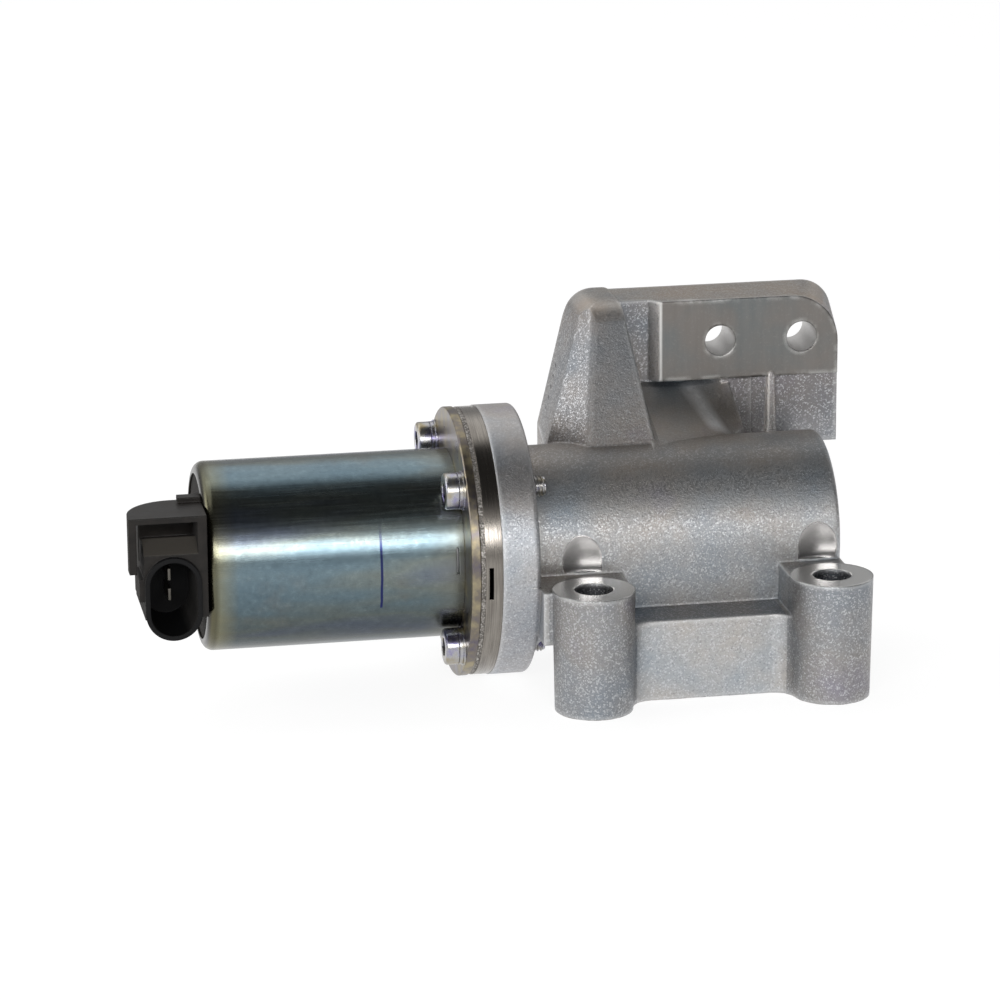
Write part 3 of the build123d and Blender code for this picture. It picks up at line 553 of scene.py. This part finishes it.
def milled_face(surface, sand, edge):
    """Dull brushed grey with edges that are partly worn and partly a painted highlight, a painted highlight
    along the pad's left edge and painted light on the back and seating faces.
    """
    x, y = surface.axes()[:2]
    streak = surface.noise(1.0, 3.0, 0.6, surface.stretched((700.0, 120.0, 60.0)))
    stain = surface.ramp(surface.noise(70.0, 3.0), [
        (0.35, (0.155, 0.165, 0.165)), (0.6, (0.185, 0.172, 0.160)),
    ])
    brushed = surface.blend(surface.span(streak, 0.35, 0.7, 0.0, 0.3), stain, (0.23, 0.22, 0.21))
    brushed = surface.blend(surface.span(sand, 0.55, 0.75, 0.0, 0.3), brushed, (0.30, 0.29, 0.28))
    # Edges partly worn and partly a painted highlight.
    wear_and_edge_highlight = surface.product(edge, surface.span(surface.noise(300.0, 3.0), 0.42, 0.62, 0.0, 0.5))
    brushed = surface.blend(wear_and_edge_highlight, brushed, (0.74, 0.74, 0.72))
    # Painted highlight along the pad's left edge.
    painted_left_highlight = surface.product(
        surface.span(x, PAD_LEFT_X + PAD_LINE_FADE_WIDTH, PAD_LEFT_X + PAD_LINE_WIDTH),
        surface.above(x, PAD_LEFT_X), surface.below(y, PAD_FRONT_Y + FACE_MARGIN))
    brushed = surface.blend(surface.product(painted_left_highlight, 0.8), brushed, (0.80, 0.79, 0.77))
    # Painted light on the back of the plate and the seating face of the foot.
    return surface.blend(far_faces(surface), brushed, (2.3, 2.3, 2.35), "MULTIPLY")


def polished_face(surface, rings):
    """Bright boss tops with fine tool rings, and painted shade where the cutter bit into the walls above
    them.
    """
    polished = surface.ramp(surface.span(rings, -1.0, 1.0), [
        (0.0, (0.50, 0.50, 0.49)), (1.0, (0.64, 0.64, 0.63)),
    ])
    in_bite = surface.above(surface.axes()[2], BOSS_TOP_Z + FACE_MARGIN)
    # Painted shade in the cutter's bites.
    return surface.blend(in_bite, polished, (0.68, 0.66, 0.66), "MULTIPLY")


def cast_aluminium():
    """Sand-grey casting with bright grains, partly painted glints, soft edges with a painted highlight,
    painted light and shade place by place, polished bosses and dull milled faces.
    """
    surface = Finish("cast_aluminium", (0.40, 0.40, 0.40), 0.5, 1.0)
    bosses, flats, from_boss = milled_shares(surface)
    milled = surface.largest(bosses, flats)
    edge = surface.outer_edge(1.3 * MM)
    # Fewer grains and painted glints on upward faces.
    calm = surface.span(surface.facing("Z"), 0.3, 0.8, 1.0, 0.4)
    grain = surface.cells(3300.0)
    sand = surface.noise(1900.0, 3.0, 0.7)
    marks = pin_marks(surface)
    rings = surface.math("SINE", surface.product(from_boss, 2 * math.pi / RING_PITCH))
    cast = sanded(surface, cloud_with_painted_light(surface, from_boss), grain, sand, calm)
    # Painted highlight along the casting's outer edges.
    cast = surface.blend(surface.product(edge, 0.45), cast, (0.74, 0.74, 0.74))
    cast = surface.blend(surface.product(marks, 0.7), cast, (0.05, 0.05, 0.055))
    colour = surface.blend(flats, cast, milled_face(surface, sand, edge))
    colour = surface.blend(bosses, colour, polished_face(surface, rings))
    # Pale drilled grey on the bolt-hole walls, partly painted light.
    colour = surface.blend(drilled_walls(surface), colour, (0.60, 0.59, 0.58))
    rough_cast = surface.span(grain, 0.0, 1.0, 0.56, 0.38)
    rough_milled = surface.math("MULTIPLY_ADD", flats, 0.12, 0.26)
    relief = surface.math("MULTIPLY_ADD", grain, 0.35, surface.product(sand, calm))
    relief = surface.math("MULTIPLY_ADD", marks, -1.5, relief)
    level = surface.math("MULTIPLY_ADD", rings, 0.012, 0.65)
    relief = surface.between(milled, relief, level)
    roughness = surface.between(milled, rough_cast, rough_milled)
    soft = surface.soft_edges(0.9 * MM)
    return surface.finish(colour, roughness, surface.bump(relief, 0.5, 0.16 * MM, soft))


def turned_steel(name, colour, lowlight, roughness):
    """Steel turned or ground round the valve axis, with fine lines round it."""
    surface = Finish(name, colour, roughness, 1.0)
    lines = surface.noise(1.0, 3.0, 0.6, surface.stretched((5200.0, 90.0, 90.0)))
    cloud = surface.noise(140.0, 3.0)
    share = surface.math("ADD", surface.product(lines, 0.7), surface.product(cloud, 0.3))
    tone = surface.ramp(share, [(0.32, lowlight), (0.62, colour)])
    rough = surface.span(lines, 0.3, 0.7, roughness + 0.08, roughness - 0.05)
    soft = surface.soft_edges(0.25 * MM, 4)
    return surface.finish(tone, rough, surface.bump(lines, 0.25, FINE_RELIEF, soft))


def heat_gasket():
    """Rough speckled gasket with a dull metal face."""
    surface = Finish("heat_gasket", (0.25, 0.23, 0.21), 0.6, 0.8)
    fleck = surface.cells(3200.0)
    tone = surface.ramp(fleck, [
        (0.1, (0.13, 0.12, 0.11)), (0.7, (0.27, 0.25, 0.23)), (0.97, (0.50, 0.48, 0.45)),
    ])
    return surface.finish(tone, surface.span(fleck, 0.0, 1.0, 0.7, 0.4), surface.bump(fleck, 0.4, 0.1 * MM))


def paint_line(surface):
    """1 on the thin painted line across the front of the can."""
    x, y, z = surface.axes()
    wander = surface.noise(260.0, 2.0)
    middle_x = surface.math("MULTIPLY_ADD", wander, LINE_WANDER, LINE_X - LINE_WANDER / 2)
    off_line = surface.away(x, middle_x)
    return surface.product(surface.span(off_line, LINE_HALF_WIDTH, LINE_CORE_SHARE * LINE_HALF_WIDTH),
                           surface.span(z, LINE_BOTTOM_Z, LINE_BOTTOM_Z + LINE_START_FADE),
                           surface.span(z, LINE_FADE_Z, LINE_TOP_Z), surface.below(y, AXIS_Y))


def left_band(surface, band, strength=1.0):
    """A band of the can's left end, fading in towards the end."""
    start, full = band
    return surface.span(surface.axes()[0], CAN_LEFT_X + start, CAN_LEFT_X + full, 0.0, strength)


def plated_can():
    """Zinc plate with an oily blue, olive and violet shimmer, drawn along the can, with painted shade
    towards its bottom and on its rolled left rim.
    """
    surface = Finish("plated_can", (0.2, 0.2, 0.2), 0.22, 1.0)
    x, _, z = surface.axes()
    drift = surface.noise(1.6, 3.0, 0.5, surface.stretched((9.0, 45.0, 45.0)))
    film = surface.ramp(drift, [
        (0.28, (0.125, 0.185, 0.225)), (0.42, (0.155, 0.215, 0.245)), (0.52, (0.19, 0.22, 0.21)),
        (0.62, (0.16, 0.19, 0.24)), (0.74, (0.20, 0.21, 0.16)),
    ])
    # Painted shade, darker towards the bottom of the can.
    painted_under_shade = surface.span(z, CAN_SHADE_TOP_Z, CAN_SHADE_BOTTOM_Z)
    film = surface.blend(painted_under_shade, film, (0.24, 0.26, 0.27), "MULTIPLY")
    stain = surface.span(surface.noise(38.0, 5.0, 0.65), 0.55, 0.72, 0.0, 0.3)
    film = surface.blend(stain, film, (0.17, 0.135, 0.10))
    fleck = surface.noise(520.0, 4.0, 0.75)
    film = surface.blend(surface.span(fleck, 0.52, 0.72, 0.0, 0.5), film, (1.6, 1.55, 1.5), "MULTIPLY")
    film = surface.blend(surface.span(fleck, 0.48, 0.28, 0.0, 0.5), film, (0.6, 0.6, 0.62), "MULTIPLY")
    film = surface.blend(left_band(surface, CAN_LEFT_STRAW, 0.75), film, (0.25, 0.225, 0.12))
    # Painted shade on the rolled rim at the can's left end.
    film = surface.blend(left_band(surface, CAN_LEFT_ROLL, 0.6), film, (0.25, 0.25, 0.25), "MULTIPLY")
    film = surface.blend(left_band(surface, CAN_LEFT_LIP), film, (0.045, 0.042, 0.036))
    right_end = surface.span(x, CAN_RIGHT_X - CAN_RIGHT_STRAW_WIDTH, CAN_RIGHT_X, 0.0, 0.5)
    film = surface.blend(right_end, film, (0.20, 0.185, 0.14))
    film = surface.blend(surface.product(paint_line(surface), 0.9), film, (0.012, 0.016, 0.10))
    drawn = surface.noise(1.0, 4.0, 0.6, surface.stretched((60.0, 1800.0, 1800.0)))
    rough = surface.span(drawn, 0.3, 0.7, 0.21, 0.29)
    soft = surface.soft_edges(0.3 * MM, 4)
    return surface.finish(film, rough, surface.bump(drawn, 0.06, FINE_RELIEF, soft))


def plated_hardware(name, pale, violet, roughness):
    """Zinc plated fastener steel with violet and straw tints."""
    surface = Finish(name, pale, roughness, 1.0)
    cloud = surface.noise(230.0, 4.0, 0.6)
    tone = surface.ramp(cloud, [(0.34, violet), (0.50, pale), (0.66, (0.36, 0.31, 0.20))])
    nick = surface.noise(1400.0, 2.0)
    rough = surface.span(cloud, 0.3, 0.7, roughness - 0.06, roughness + 0.1)
    soft = surface.soft_edges(0.25 * MM, 4)
    return surface.finish(tone, rough, surface.bump(nick, 0.15, FINE_RELIEF, soft))


def inside_shroud(surface):
    """1 inside the oval shroud of the connector."""
    x, y, z = surface.axes()
    past_straight = surface.math("SUBTRACT", surface.away(z, SHROUD_Z), SHROUD_STRAIGHT)
    off_axis = surface.distance(surface.math("SUBTRACT", x, SHROUD_X), surface.largest(past_straight, 0.0))
    return surface.product(surface.below(off_axis, SHROUD_RADIUS), surface.below(y, SHROUD_FLOOR_Y))


def plastic_texture(surface):
    """The faint cloud and the fine spark-eroded grain of moulded plastic."""
    return surface.noise(160.0, 5.0, 0.6), surface.noise(2600.0, 3.0)


def black_plastic():
    """Black moulded plastic with matt sides, painted light on the latch ramp and the left-facing sides, and
    painted shade inside the shroud.
    """
    black = (0.012, 0.0105, 0.0095)
    surface = Finish("black_plastic", black, 0.36)
    surface.shader.inputs["Specular IOR Level"].default_value = 0.2
    x, y, z = surface.axes()
    cloud, grain = plastic_texture(surface)
    tone = surface.blend(surface.span(cloud, 0.4, 0.75, 0.0, 0.6), black, (0.034, 0.029, 0.025))
    # Painted light on the latch ramp.
    painted_ramp_light = surface.product(surface.above(z, RAMP_BOTTOM_Z), surface.below(z, RAMP_TOP_Z),
                              surface.below(y, RAMP_BACK_Y), surface.above(surface.facing("Z"), 0.5))
    tone = surface.blend(painted_ramp_light, tone, (0.066, 0.060, 0.052))
    # Painted shade inside the shroud.
    shroud = inside_shroud(surface)
    tone = surface.blend(shroud, tone, (0.003, 0.003, 0.0035))
    # Painted light on the sides that face left; they are also matt.
    side = surface.span(surface.facing("X"), -0.5, -0.8)
    tone = surface.blend(surface.product(side, 0.6), tone, (0.040, 0.038, 0.036))
    on_disc = surface.span(x, CAN_LEFT_X - 0.3 * MM, CAN_LEFT_X)
    matt = surface.largest(on_disc, side, surface.product(shroud, 0.7))
    rough = surface.largest(surface.span(cloud, 0.3, 0.7, 0.28, 0.44), surface.product(matt, 0.95))
    soft = surface.soft_edges(0.5 * MM)
    return surface.finish(tone, rough, surface.bump(grain, 0.12, FINE_RELIEF, soft))


def moulded_plastic(name, colour, dusty, roughness, edge_radius):
    """Plain moulded plastic of one colour, with a dusty cloud over it."""
    surface = Finish(name, colour, roughness)
    cloud, grain = plastic_texture(surface)
    tone = surface.blend(surface.span(cloud, 0.4, 0.75, 0.0, 0.6), colour, dusty)
    rough = surface.span(cloud, 0.3, 0.7, roughness - 0.08, roughness + 0.08)
    soft = surface.soft_edges(edge_radius)
    return surface.finish(tone, rough, surface.bump(grain, 0.12, FINE_RELIEF, soft))


def wound_copper():
    """Enamelled copper wire, as close turns round the axis, with painted shade in the grooves between
    turns.
    """
    surface = Finish("wound_copper", (0.62, 0.27, 0.12), 0.3, 0.9)
    turns = surface.math("SINE", surface.product(surface.axes()[0], 2 * math.pi / WIRE_PITCH))
    crown = surface.span(turns, -1.0, 1.0)
    # Painted shade in the grooves between turns.
    tone = surface.ramp(crown, [(0.0, (0.25, 0.09, 0.04)), (0.7, (0.66, 0.30, 0.13))])
    rough = surface.span(turns, -1.0, 1.0, 0.45, 0.25)
    return surface.finish(tone, rough, surface.bump(turns, 0.8, 0.2 * MM))


def soft_rubber():
    """Black seal rubber with a dull bloom."""
    surface = Finish("soft_rubber", (0.02, 0.02, 0.02), 0.6)
    bloom = surface.noise(500.0, 4.0)
    tone = surface.ramp(bloom, [(0.35, (0.015, 0.015, 0.016)), (0.75, (0.05, 0.05, 0.05))])
    rough = surface.span(bloom, 0.3, 0.7, 0.5, 0.75)
    return surface.finish(tone, rough, surface.bump(bloom, 0.2, FINE_RELIEF))


def all_finishes():
    """Every finish by the name that the pieces use."""
    return {
        "cast": cast_aluminium(),
        "turned": turned_steel("turned_steel", (0.29, 0.268, 0.24), (0.155, 0.14, 0.125), 0.21),
        "ground": turned_steel("ground_steel", (0.72, 0.72, 0.72), (0.50, 0.50, 0.51), 0.2),
        "iron": turned_steel("soft_iron", (0.46, 0.46, 0.47), (0.28, 0.28, 0.29), 0.4),
        "bronze": turned_steel("guide_bronze", (0.66, 0.46, 0.24), (0.40, 0.27, 0.14), 0.4),
        "tinned": turned_steel("tinned_contact", (0.17, 0.16, 0.14), (0.09, 0.085, 0.075), 0.35),
        "gasket": heat_gasket(),
        "can": plated_can(),
        "plate": plated_hardware("plated_plate", (0.20, 0.175, 0.145), (0.145, 0.13, 0.155), 0.32),
        "screws": plated_hardware("screw_steel", (0.42, 0.42, 0.43), (0.25, 0.23, 0.42), 0.26),
        "housing": black_plastic(),
        "bobbin": moulded_plastic("bobbin_plastic", (0.62, 0.57, 0.44), (0.52, 0.47, 0.35), 0.5, 0.2 * MM),
        "shim": moulded_plastic("shim_plastic", (0.42, 0.33, 0.15), (0.34, 0.26, 0.12), 0.45, 0.1 * MM),
        "copper": wound_copper(),
        "rubber": soft_rubber(),
    }


FINISH_OF_NODE = {
    "valve_body": "cast", "spacer_ring": "turned", "flange_gasket": "gasket", "flange_plate": "plate",
    "spring_washers": "screws", "flat_washers": "screws", "flange_screws": "screws", "solenoid_can": "can",
    "fixed_pole": "iron", "front_pole": "iron", "coil_bobbin": "bobbin", "coil_winding": "copper",
    "armature_sleeve": "ground", "stop_shim": "shim", "armature": "iron", "valve_stem": "ground",
    "valve_seat": "ground", "valve_poppet": "ground", "stem_carrier": "turned", "stem_bush": "bronze",
    "stem_scraper": "turned", "spring_retainer": "turned", "retainer_clip": "ground",
    "return_spring": "ground", "end_cap": "housing", "cap_seal": "rubber", "connector_terminals": "tinned",
}


def dress_nodes(finishes):
    """Give every solid of the model its finish."""
    for name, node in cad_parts.items():
        finish = finishes[FINISH_OF_NODE[name]]
        if not node.material_slots:
            node.data.materials.append(finish)
        for slot in node.material_slots:
            slot.material = finish


def ring_of(mesh, x, radius, sides):
    """One closed ring of vertices round the X axis."""
    angles = [2 * math.pi * i / sides for i in range(sides)]
    return [mesh.verts.new((x, radius * math.cos(a), radius * math.sin(a))) for a in angles]


def hexagon_ring(mesh, x, flats, sides):
    """A ring that follows a hexagon, with the same count of vertices as a round one."""
    ring = []
    for i in range(sides):
        angle = 2 * math.pi * i / sides
        from_flat = (angle % (math.pi / 3)) - math.pi / 6
        radius = flats / 2 / math.cos(from_flat)
        ring.append(mesh.verts.new((x, radius * math.cos(angle), radius * math.sin(angle))))
    return ring


def bridge(mesh, first, second):
    """Quads between two rings of the same count."""
    count = len(first)
    for i in range(count):
        j = (i + 1) % count
        mesh.faces.new((first[i], first[j], second[j], second[i]))


def skin(work, rings, name):
    """A closed mesh over a row of rings, with a cap at each end."""
    for first, second in zip(rings, rings[1:]):
        bridge(work, first, second)
    work.faces.new(rings[0])
    work.faces.new(rings[-1])
    bmesh.ops.recalc_face_normals(work, faces=work.faces)
    mesh = bpy.data.meshes.new(name)
    work.to_mesh(mesh)
    work.free()
    return mesh


def screw_head_mesh():
    """A round head with a hexagon socket, centred on the X axis with its top at X 0."""
    sides = SCREW_HEAD_SIDES
    work = bmesh.new()
    rings = [
        hexagon_ring(work, SCREW_SOCKET_DEPTH, SCREW_SOCKET_FLATS, sides),
        hexagon_ring(work, SCREW_SOCKET_BEVEL_DEPTH, SCREW_SOCKET_FLATS, sides),
        hexagon_ring(work, 0.0, SCREW_SOCKET_FLATS + SCREW_SOCKET_BEVEL_WIDTH, sides),
    ]
    for step in range(SCREW_ROUNDING_STEPS + 1):
        turn = math.pi / 2 * step / SCREW_ROUNDING_STEPS
        x = SCREW_HEAD_ROUNDING * (1 - math.sin(math.pi / 2 - turn))
        radius = SCREW_HEAD_RADIUS - SCREW_HEAD_ROUNDING * (1 - math.sin(turn))
        rings.append(ring_of(work, x, radius, sides))
    rings.append(ring_of(work, SCREW_HEAD_HEIGHT - SCREW_HEAD_BEVEL, SCREW_HEAD_RADIUS, sides))
    rings.append(ring_of(work, SCREW_HEAD_HEIGHT, SCREW_HEAD_RADIUS - SCREW_HEAD_BEVEL, sides))
    return skin(work, rings, "screw_head")


class ShapeTree(Nodes):
    """A geometry node tree with named inputs."""

    def __init__(self, name):
        super().__init__(bpy.data.node_groups.new(name, "GeometryNodeTree"))
        self.tree.interface.new_socket("Geometry", in_out="INPUT", socket_type="NodeSocketGeometry")
        self.tree.interface.new_socket("Geometry", in_out="OUTPUT", socket_type="NodeSocketGeometry")
        self.inlet = self.node("NodeGroupInput")
        self.outlet = self.node("NodeGroupOutput")
        self.identifiers = {}

    def value(self, name, kind="NodeSocketFloat"):
        """A named input of the tree."""
        socket = self.tree.interface.new_socket(name, in_out="INPUT", socket_type=kind)
        self.identifiers[name] = socket.identifier
        return self.inlet.outputs[name]

    def point(self, x, y, z):
        made = self.node("ShaderNodeCombineXYZ")
        for socket, source in zip(made.inputs, (x, y, z)):
            self.feed(socket, source)
        return made.outputs["Vector"]

    def round_axis(self, x, spoke, angle):
        """A point at a distance and an angle round the X axis."""
        return self.point(x, self.product(spoke, self.math("COSINE", angle)),
                          self.product(spoke, self.math("SINE", angle)))

    def moved(self, shape, position):
        """A shape with every point set to its own position."""
        made = self.node("GeometryNodeSetPosition")
        self.feed(made.inputs["Geometry"], shape)
        self.feed(made.inputs["Position"], position)
        return made.outputs["Geometry"]

    def bake(self, holder, values):
        """Run the tree on an object with its inputs set, and give the plain mesh."""
        modifier = holder.modifiers.new(self.tree.name, "NODES")
        modifier.node_group = self.tree
        for name, value in values.items():
            modifier[self.identifiers[name]] = value
        graph = bpy.context.evaluated_depsgraph_get()
        mesh = bpy.data.meshes.new_from_object(holder.evaluated_get(graph), depsgraph=graph)
        holder.modifiers.clear()
        return mesh


def threaded_shank(tree, radius, depth, pitch, start, length):
    """A grid rolled into a shank, with a sharp thread that runs down to its root at the tip."""
    grid = tree.node("GeometryNodeMeshGrid")
    counts = (("Vertices X", SCREW_RINGS_ALONG), ("Vertices Y", SCREW_SHANK_SIDES + 1))
    for name, value in (("Size X", 1.0), ("Size Y", 1.0), *counts):
        grid.inputs[name].default_value = value
    along, across = tree.parts(tree.node("GeometryNodeInputPosition").outputs["Position"])[:2]
    turn = tree.math("ADD", across, 0.5)
    travel = tree.product(tree.math("ADD", along, 0.5), length)
    phase = tree.math("FRACT", tree.math("SUBTRACT", tree.math("DIVIDE", travel, pitch), turn))
    flank = tree.product(tree.math("ABSOLUTE", tree.math("SUBTRACT", phase, 0.5)), 2.0)
    to_tip = tree.math("MINIMUM", tree.math("DIVIDE", tree.math("SUBTRACT", length, travel), pitch), 1.0)
    depth_share = tree.math("ADD", tree.product(flank, to_tip), tree.math("SUBTRACT", 1.0, to_tip))
    spoke = tree.math("SUBTRACT", radius, tree.product(depth_share, depth))
    rolled = tree.moved(grid.outputs["Mesh"], tree.round_axis(
        tree.math("ADD", start, travel), spoke, tree.product(turn, 2 * math.pi)))
    merged = tree.node("GeometryNodeMergeByDistance")
    merged.inputs["Distance"].default_value = 0.001 * MM
    tree.feed(merged.inputs["Geometry"], rolled)
    outward = tree.node("GeometryNodeFlipFaces")
    tree.feed(outward.inputs["Mesh"], merged.outputs["Geometry"])
    return outward.outputs["Mesh"]


def shank_tip(tree, radius, depth, start, length):
    """The flat end of a shank."""
    disc = tree.node("GeometryNodeMeshCircle", fill_type="TRIANGLE_FAN")
    disc.inputs["Vertices"].default_value = SCREW_SHANK_SIDES
    tree.feed(disc.inputs["Radius"], tree.math("SUBTRACT", radius, depth))
    placed = tree.node("GeometryNodeTransform")
    placed.inputs["Rotation"].default_value = (0.0, math.pi / 2, 0.0)
    tree.feed(placed.inputs["Geometry"], disc.outputs["Mesh"])
    tree.feed(placed.inputs["Translation"], tree.point(tree.math("ADD", start, length), 0.0, 0.0))
    return placed.outputs["Geometry"]


def round_flange(tree, screw, count, circle, first_angle):
    """A screw repeated round the flange's screw circle."""
    line = tree.node("GeometryNodeMeshLine")
    tree.feed(line.inputs["Count"], count)
    index = tree.node("GeometryNodeInputIndex").outputs["Index"]
    angle = tree.math("ADD", first_angle, tree.product(index, tree.math("DIVIDE", 2 * math.pi, count)))
    spread = tree.node("GeometryNodeInstanceOnPoints")
    places = tree.moved(line.outputs["Mesh"], tree.round_axis(0.0, circle, angle))
    tree.feed(spread.inputs["Points"], places)
    tree.feed(spread.inputs["Instance"], screw)
    tree.feed(spread.inputs["Rotation"], tree.point(angle, 0.0, 0.0))
    return spread.outputs["Instances"]


def screw_tree():
    """Adds a threaded shank to a screw head and repeats the screw round the flange."""
    tree = ShapeTree("flange_screw_tree")
    radius = tree.value("Shank Radius")
    depth = tree.value("Thread Depth")
    pitch = tree.value("Pitch")
    start = tree.value("Shank Start")
    length = tree.value("Shank Length")
    count = tree.value("Screw Count", "NodeSocketInt")
    circle = tree.value("Circle Radius")
    first_angle = tree.value("First Angle")
    finish = tree.value("Finish", "NodeSocketMaterial")
    screw = tree.node("GeometryNodeJoinGeometry")
    tree.feed(screw.inputs["Geometry"], shank_tip(tree, radius, depth, start, length))
    tree.feed(screw.inputs["Geometry"], threaded_shank(tree, radius, depth, pitch, start, length))
    tree.feed(screw.inputs["Geometry"], tree.inlet.outputs["Geometry"])
    plain = tree.node("GeometryNodeRealizeInstances")
    tree.feed(plain.inputs["Geometry"],
              round_flange(tree, screw.outputs["Geometry"], count, circle, first_angle))
    coated = tree.node("GeometryNodeSetMaterial")
    tree.feed(coated.inputs["Geometry"], plain.outputs["Geometry"])
    tree.feed(coated.inputs["Material"], finish)
    tree.feed(tree.outlet.inputs["Geometry"], coated.outputs["Geometry"])
    return tree


def smooth_by_angle(mesh):
    """Smooth shading that keeps the sharper edges."""
    work = bmesh.new()
    work.from_mesh(mesh)
    for face in work.faces:
        face.smooth = True
    for edge in work.edges:
        edge.smooth = len(edge.link_faces) == 2 and edge.calc_face_angle(0.0) < SMOOTH_BELOW
    work.to_mesh(mesh)
    work.free()


def add_object(name, data):
    """A new object in the scene."""
    made = bpy.data.objects.new(name, data)
    bpy.context.collection.objects.link(made)
    return made


def flange_screws(finishes):
    """The four screws with cut threads, in place of their plain solids."""
    holder = add_object("screw_holder", screw_head_mesh())
    mesh = screw_tree().bake(holder, {
        "Shank Radius": SCREW_SHANK_RADIUS,
        "Thread Depth": SCREW_THREAD_DEPTH,
        "Pitch": SCREW_PITCH,
        "Shank Start": SCREW_HEAD_HEIGHT,
        "Shank Length": SCREW_TIP_X - SCREW_HEAD_LEFT_X - SCREW_HEAD_HEIGHT,
        "Screw Count": SCREW_COUNT,
        "Circle Radius": SCREW_CIRCLE,
        "First Angle": SCREW_ANGLE,
        "Finish": finishes["screws"],
    })
    bpy.data.objects.remove(holder)
    mesh.transform(Matrix.Translation((SCREW_HEAD_LEFT_X, AXIS_Y, AXIS_Z)))
    smooth_by_angle(mesh)
    screws = add_object("threaded_flange_screws", mesh)
    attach(screws, "housing")
    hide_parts("flange_screws")


def coil_mesh():
    """The spring's wire, wound round the valve axis between its seat and the retainer."""
    left_x = SPRING_SEAT_X + SPRING_WIRE_RADIUS + SPRING_END_GAP
    right_x = SPRING_RETAINER_X - SPRING_WIRE_RADIUS - SPRING_END_GAP
    steps = round(SPRING_TURNS * SPRING_STEPS_PER_TURN)
    along = Vector((1.0, 0.0, 0.0))
    work = bmesh.new()
    rings = []
    for step in range(steps + 1):
        angle = 2 * math.pi * SPRING_TURNS * step / steps
        spoke = Vector((0.0, math.sin(angle), -math.cos(angle)))
        on_axis = Vector((left_x + (right_x - left_x) * step / steps, AXIS_Y, AXIS_Z))
        centre = on_axis + SPRING_MEAN_RADIUS * spoke
        ring = []
        for side in range(SPRING_WIRE_SIDES):
            turn = 2 * math.pi * side / SPRING_WIRE_SIDES
            outward = math.cos(turn) * spoke + math.sin(turn) * along
            ring.append(work.verts.new(centre + SPRING_WIRE_RADIUS * outward))
        rings.append(ring)
    return skin(work, rings, "coiled_spring")


def return_spring(finishes):
    """The return spring as one smooth coil."""
    mesh = coil_mesh()
    smooth_by_angle(mesh)
    mesh.materials.append(finishes["ground"])
    coil = add_object("coiled_return_spring", mesh)
    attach(coil, "housing")
    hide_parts("return_spring")
    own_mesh(coil)


def camera():
    """The camera at the photograph's place and angle."""
    away = Vector((
        math.sin(CAMERA_AZIMUTH) * math.cos(CAMERA_ELEVATION),
        -math.cos(CAMERA_AZIMUTH) * math.cos(CAMERA_ELEVATION),
        math.sin(CAMERA_ELEVATION),
    ))
    forward = -away
    right = forward.cross(Vector((0.0, 0.0, 1.0))).normalized()
    up = right.cross(forward)
    rolled_right = math.cos(CAMERA_ROLL) * right + math.sin(CAMERA_ROLL) * up
    rolled_up = math.cos(CAMERA_ROLL) * up - math.sin(CAMERA_ROLL) * right
    turn = Matrix((rolled_right, rolled_up, away)).transposed().to_4x4()
    data = bpy.data.cameras.new("photo_camera")
    data.lens = CAMERA_LENS
    data.sensor_width = CAMERA_SENSOR
    made = add_object("photo_camera", data)
    made.matrix_world = Matrix.Translation(CAMERA_TARGET + away * CAMERA_DISTANCE) @ turn
    bpy.context.scene.camera = made


def floor():
    """A plain pale floor that glows white where it is seen and keeps a faint shadow."""
    paint = bpy.data.materials.new("pale_floor")
    paint.use_nodes = True
    nodes = Nodes(paint.node_tree)
    nodes.tree.nodes.clear()
    matt = nodes.node("ShaderNodeBsdfDiffuse")
    matt.inputs["Color"].default_value = FLOOR_COLOUR
    glow = nodes.node("ShaderNodeEmission")
    glow.inputs["Strength"].default_value = FLOOR_GLOW_STRENGTH
    path = nodes.node("ShaderNodeLightPath").outputs
    seen = nodes.largest(path["Is Camera Ray"], path["Is Glossy Ray"], path["Is Transmission Ray"])
    mix = nodes.node("ShaderNodeMixShader")
    nodes.feed(mix.inputs["Fac"], nodes.product(seen, FLOOR_GLOW_SHARE))
    nodes.feed(mix.inputs[1], matt.outputs["BSDF"])
    nodes.feed(mix.inputs[2], glow.outputs["Emission"])
    nodes.feed(nodes.node("ShaderNodeOutputMaterial").inputs["Surface"], mix.outputs["Shader"])
    half = FLOOR_HALF_SIZE
    low = cad_bounds[0][2]
    corners = [(-half, -half, low), (half, -half, low), (half, half, low), (-half, half, low)]
    mesh = bpy.data.meshes.new("floor")
    mesh.from_pydata(corners, [], [(0, 1, 2, 3)])
    mesh.materials.append(paint)
    made = add_object("floor", mesh)


def soft_room():
    """A studio room as one soft light: grey in front and behind, dark above, bright high behind."""
    world = bpy.data.worlds.new("studio")
    world.use_nodes = True
    nodes = Nodes(world.node_tree)
    back = nodes.tree.nodes["Background"]
    x, y, z = nodes.parts(nodes.node("ShaderNodeTexCoord").outputs["Generated"])
    angle = nodes.math("ARCTAN2", z, nodes.product(y, -1.0))
    greys = [(place, (grey, grey, grey)) for place, grey in ROOM_GREYS]
    nodes.feed(back.inputs["Color"], nodes.ramp(nodes.math("DIVIDE", angle, math.pi), greys))
    nodes.feed(back.inputs["Strength"], nodes.span(x, -1.0, 1.0, ROOM_STRENGTH_LEFT, ROOM_STRENGTH_RIGHT))
    bpy.context.scene.world = world


def lamp(name, place, target, size, power):
    """A large soft lamp aimed at the object."""
    data = bpy.data.lights.new(name, "AREA")
    data.shape = "RECTANGLE"
    data.size, data.size_y = size
    data.energy = power
    made = add_object(name, data)
    made.location = place
    made.rotation_euler = (Vector(target) - Vector(place)).to_track_quat("-Z", "Y").to_euler()


camera()
floor()
soft_room()
for lamp_details in LAMPS:
    lamp(*lamp_details)
finish_set = all_finishes()
dress_nodes(finish_set)
flange_screws(finish_set)
return_spring(finish_set)

bpy.context.scene.view_settings.view_transform = "Standard"
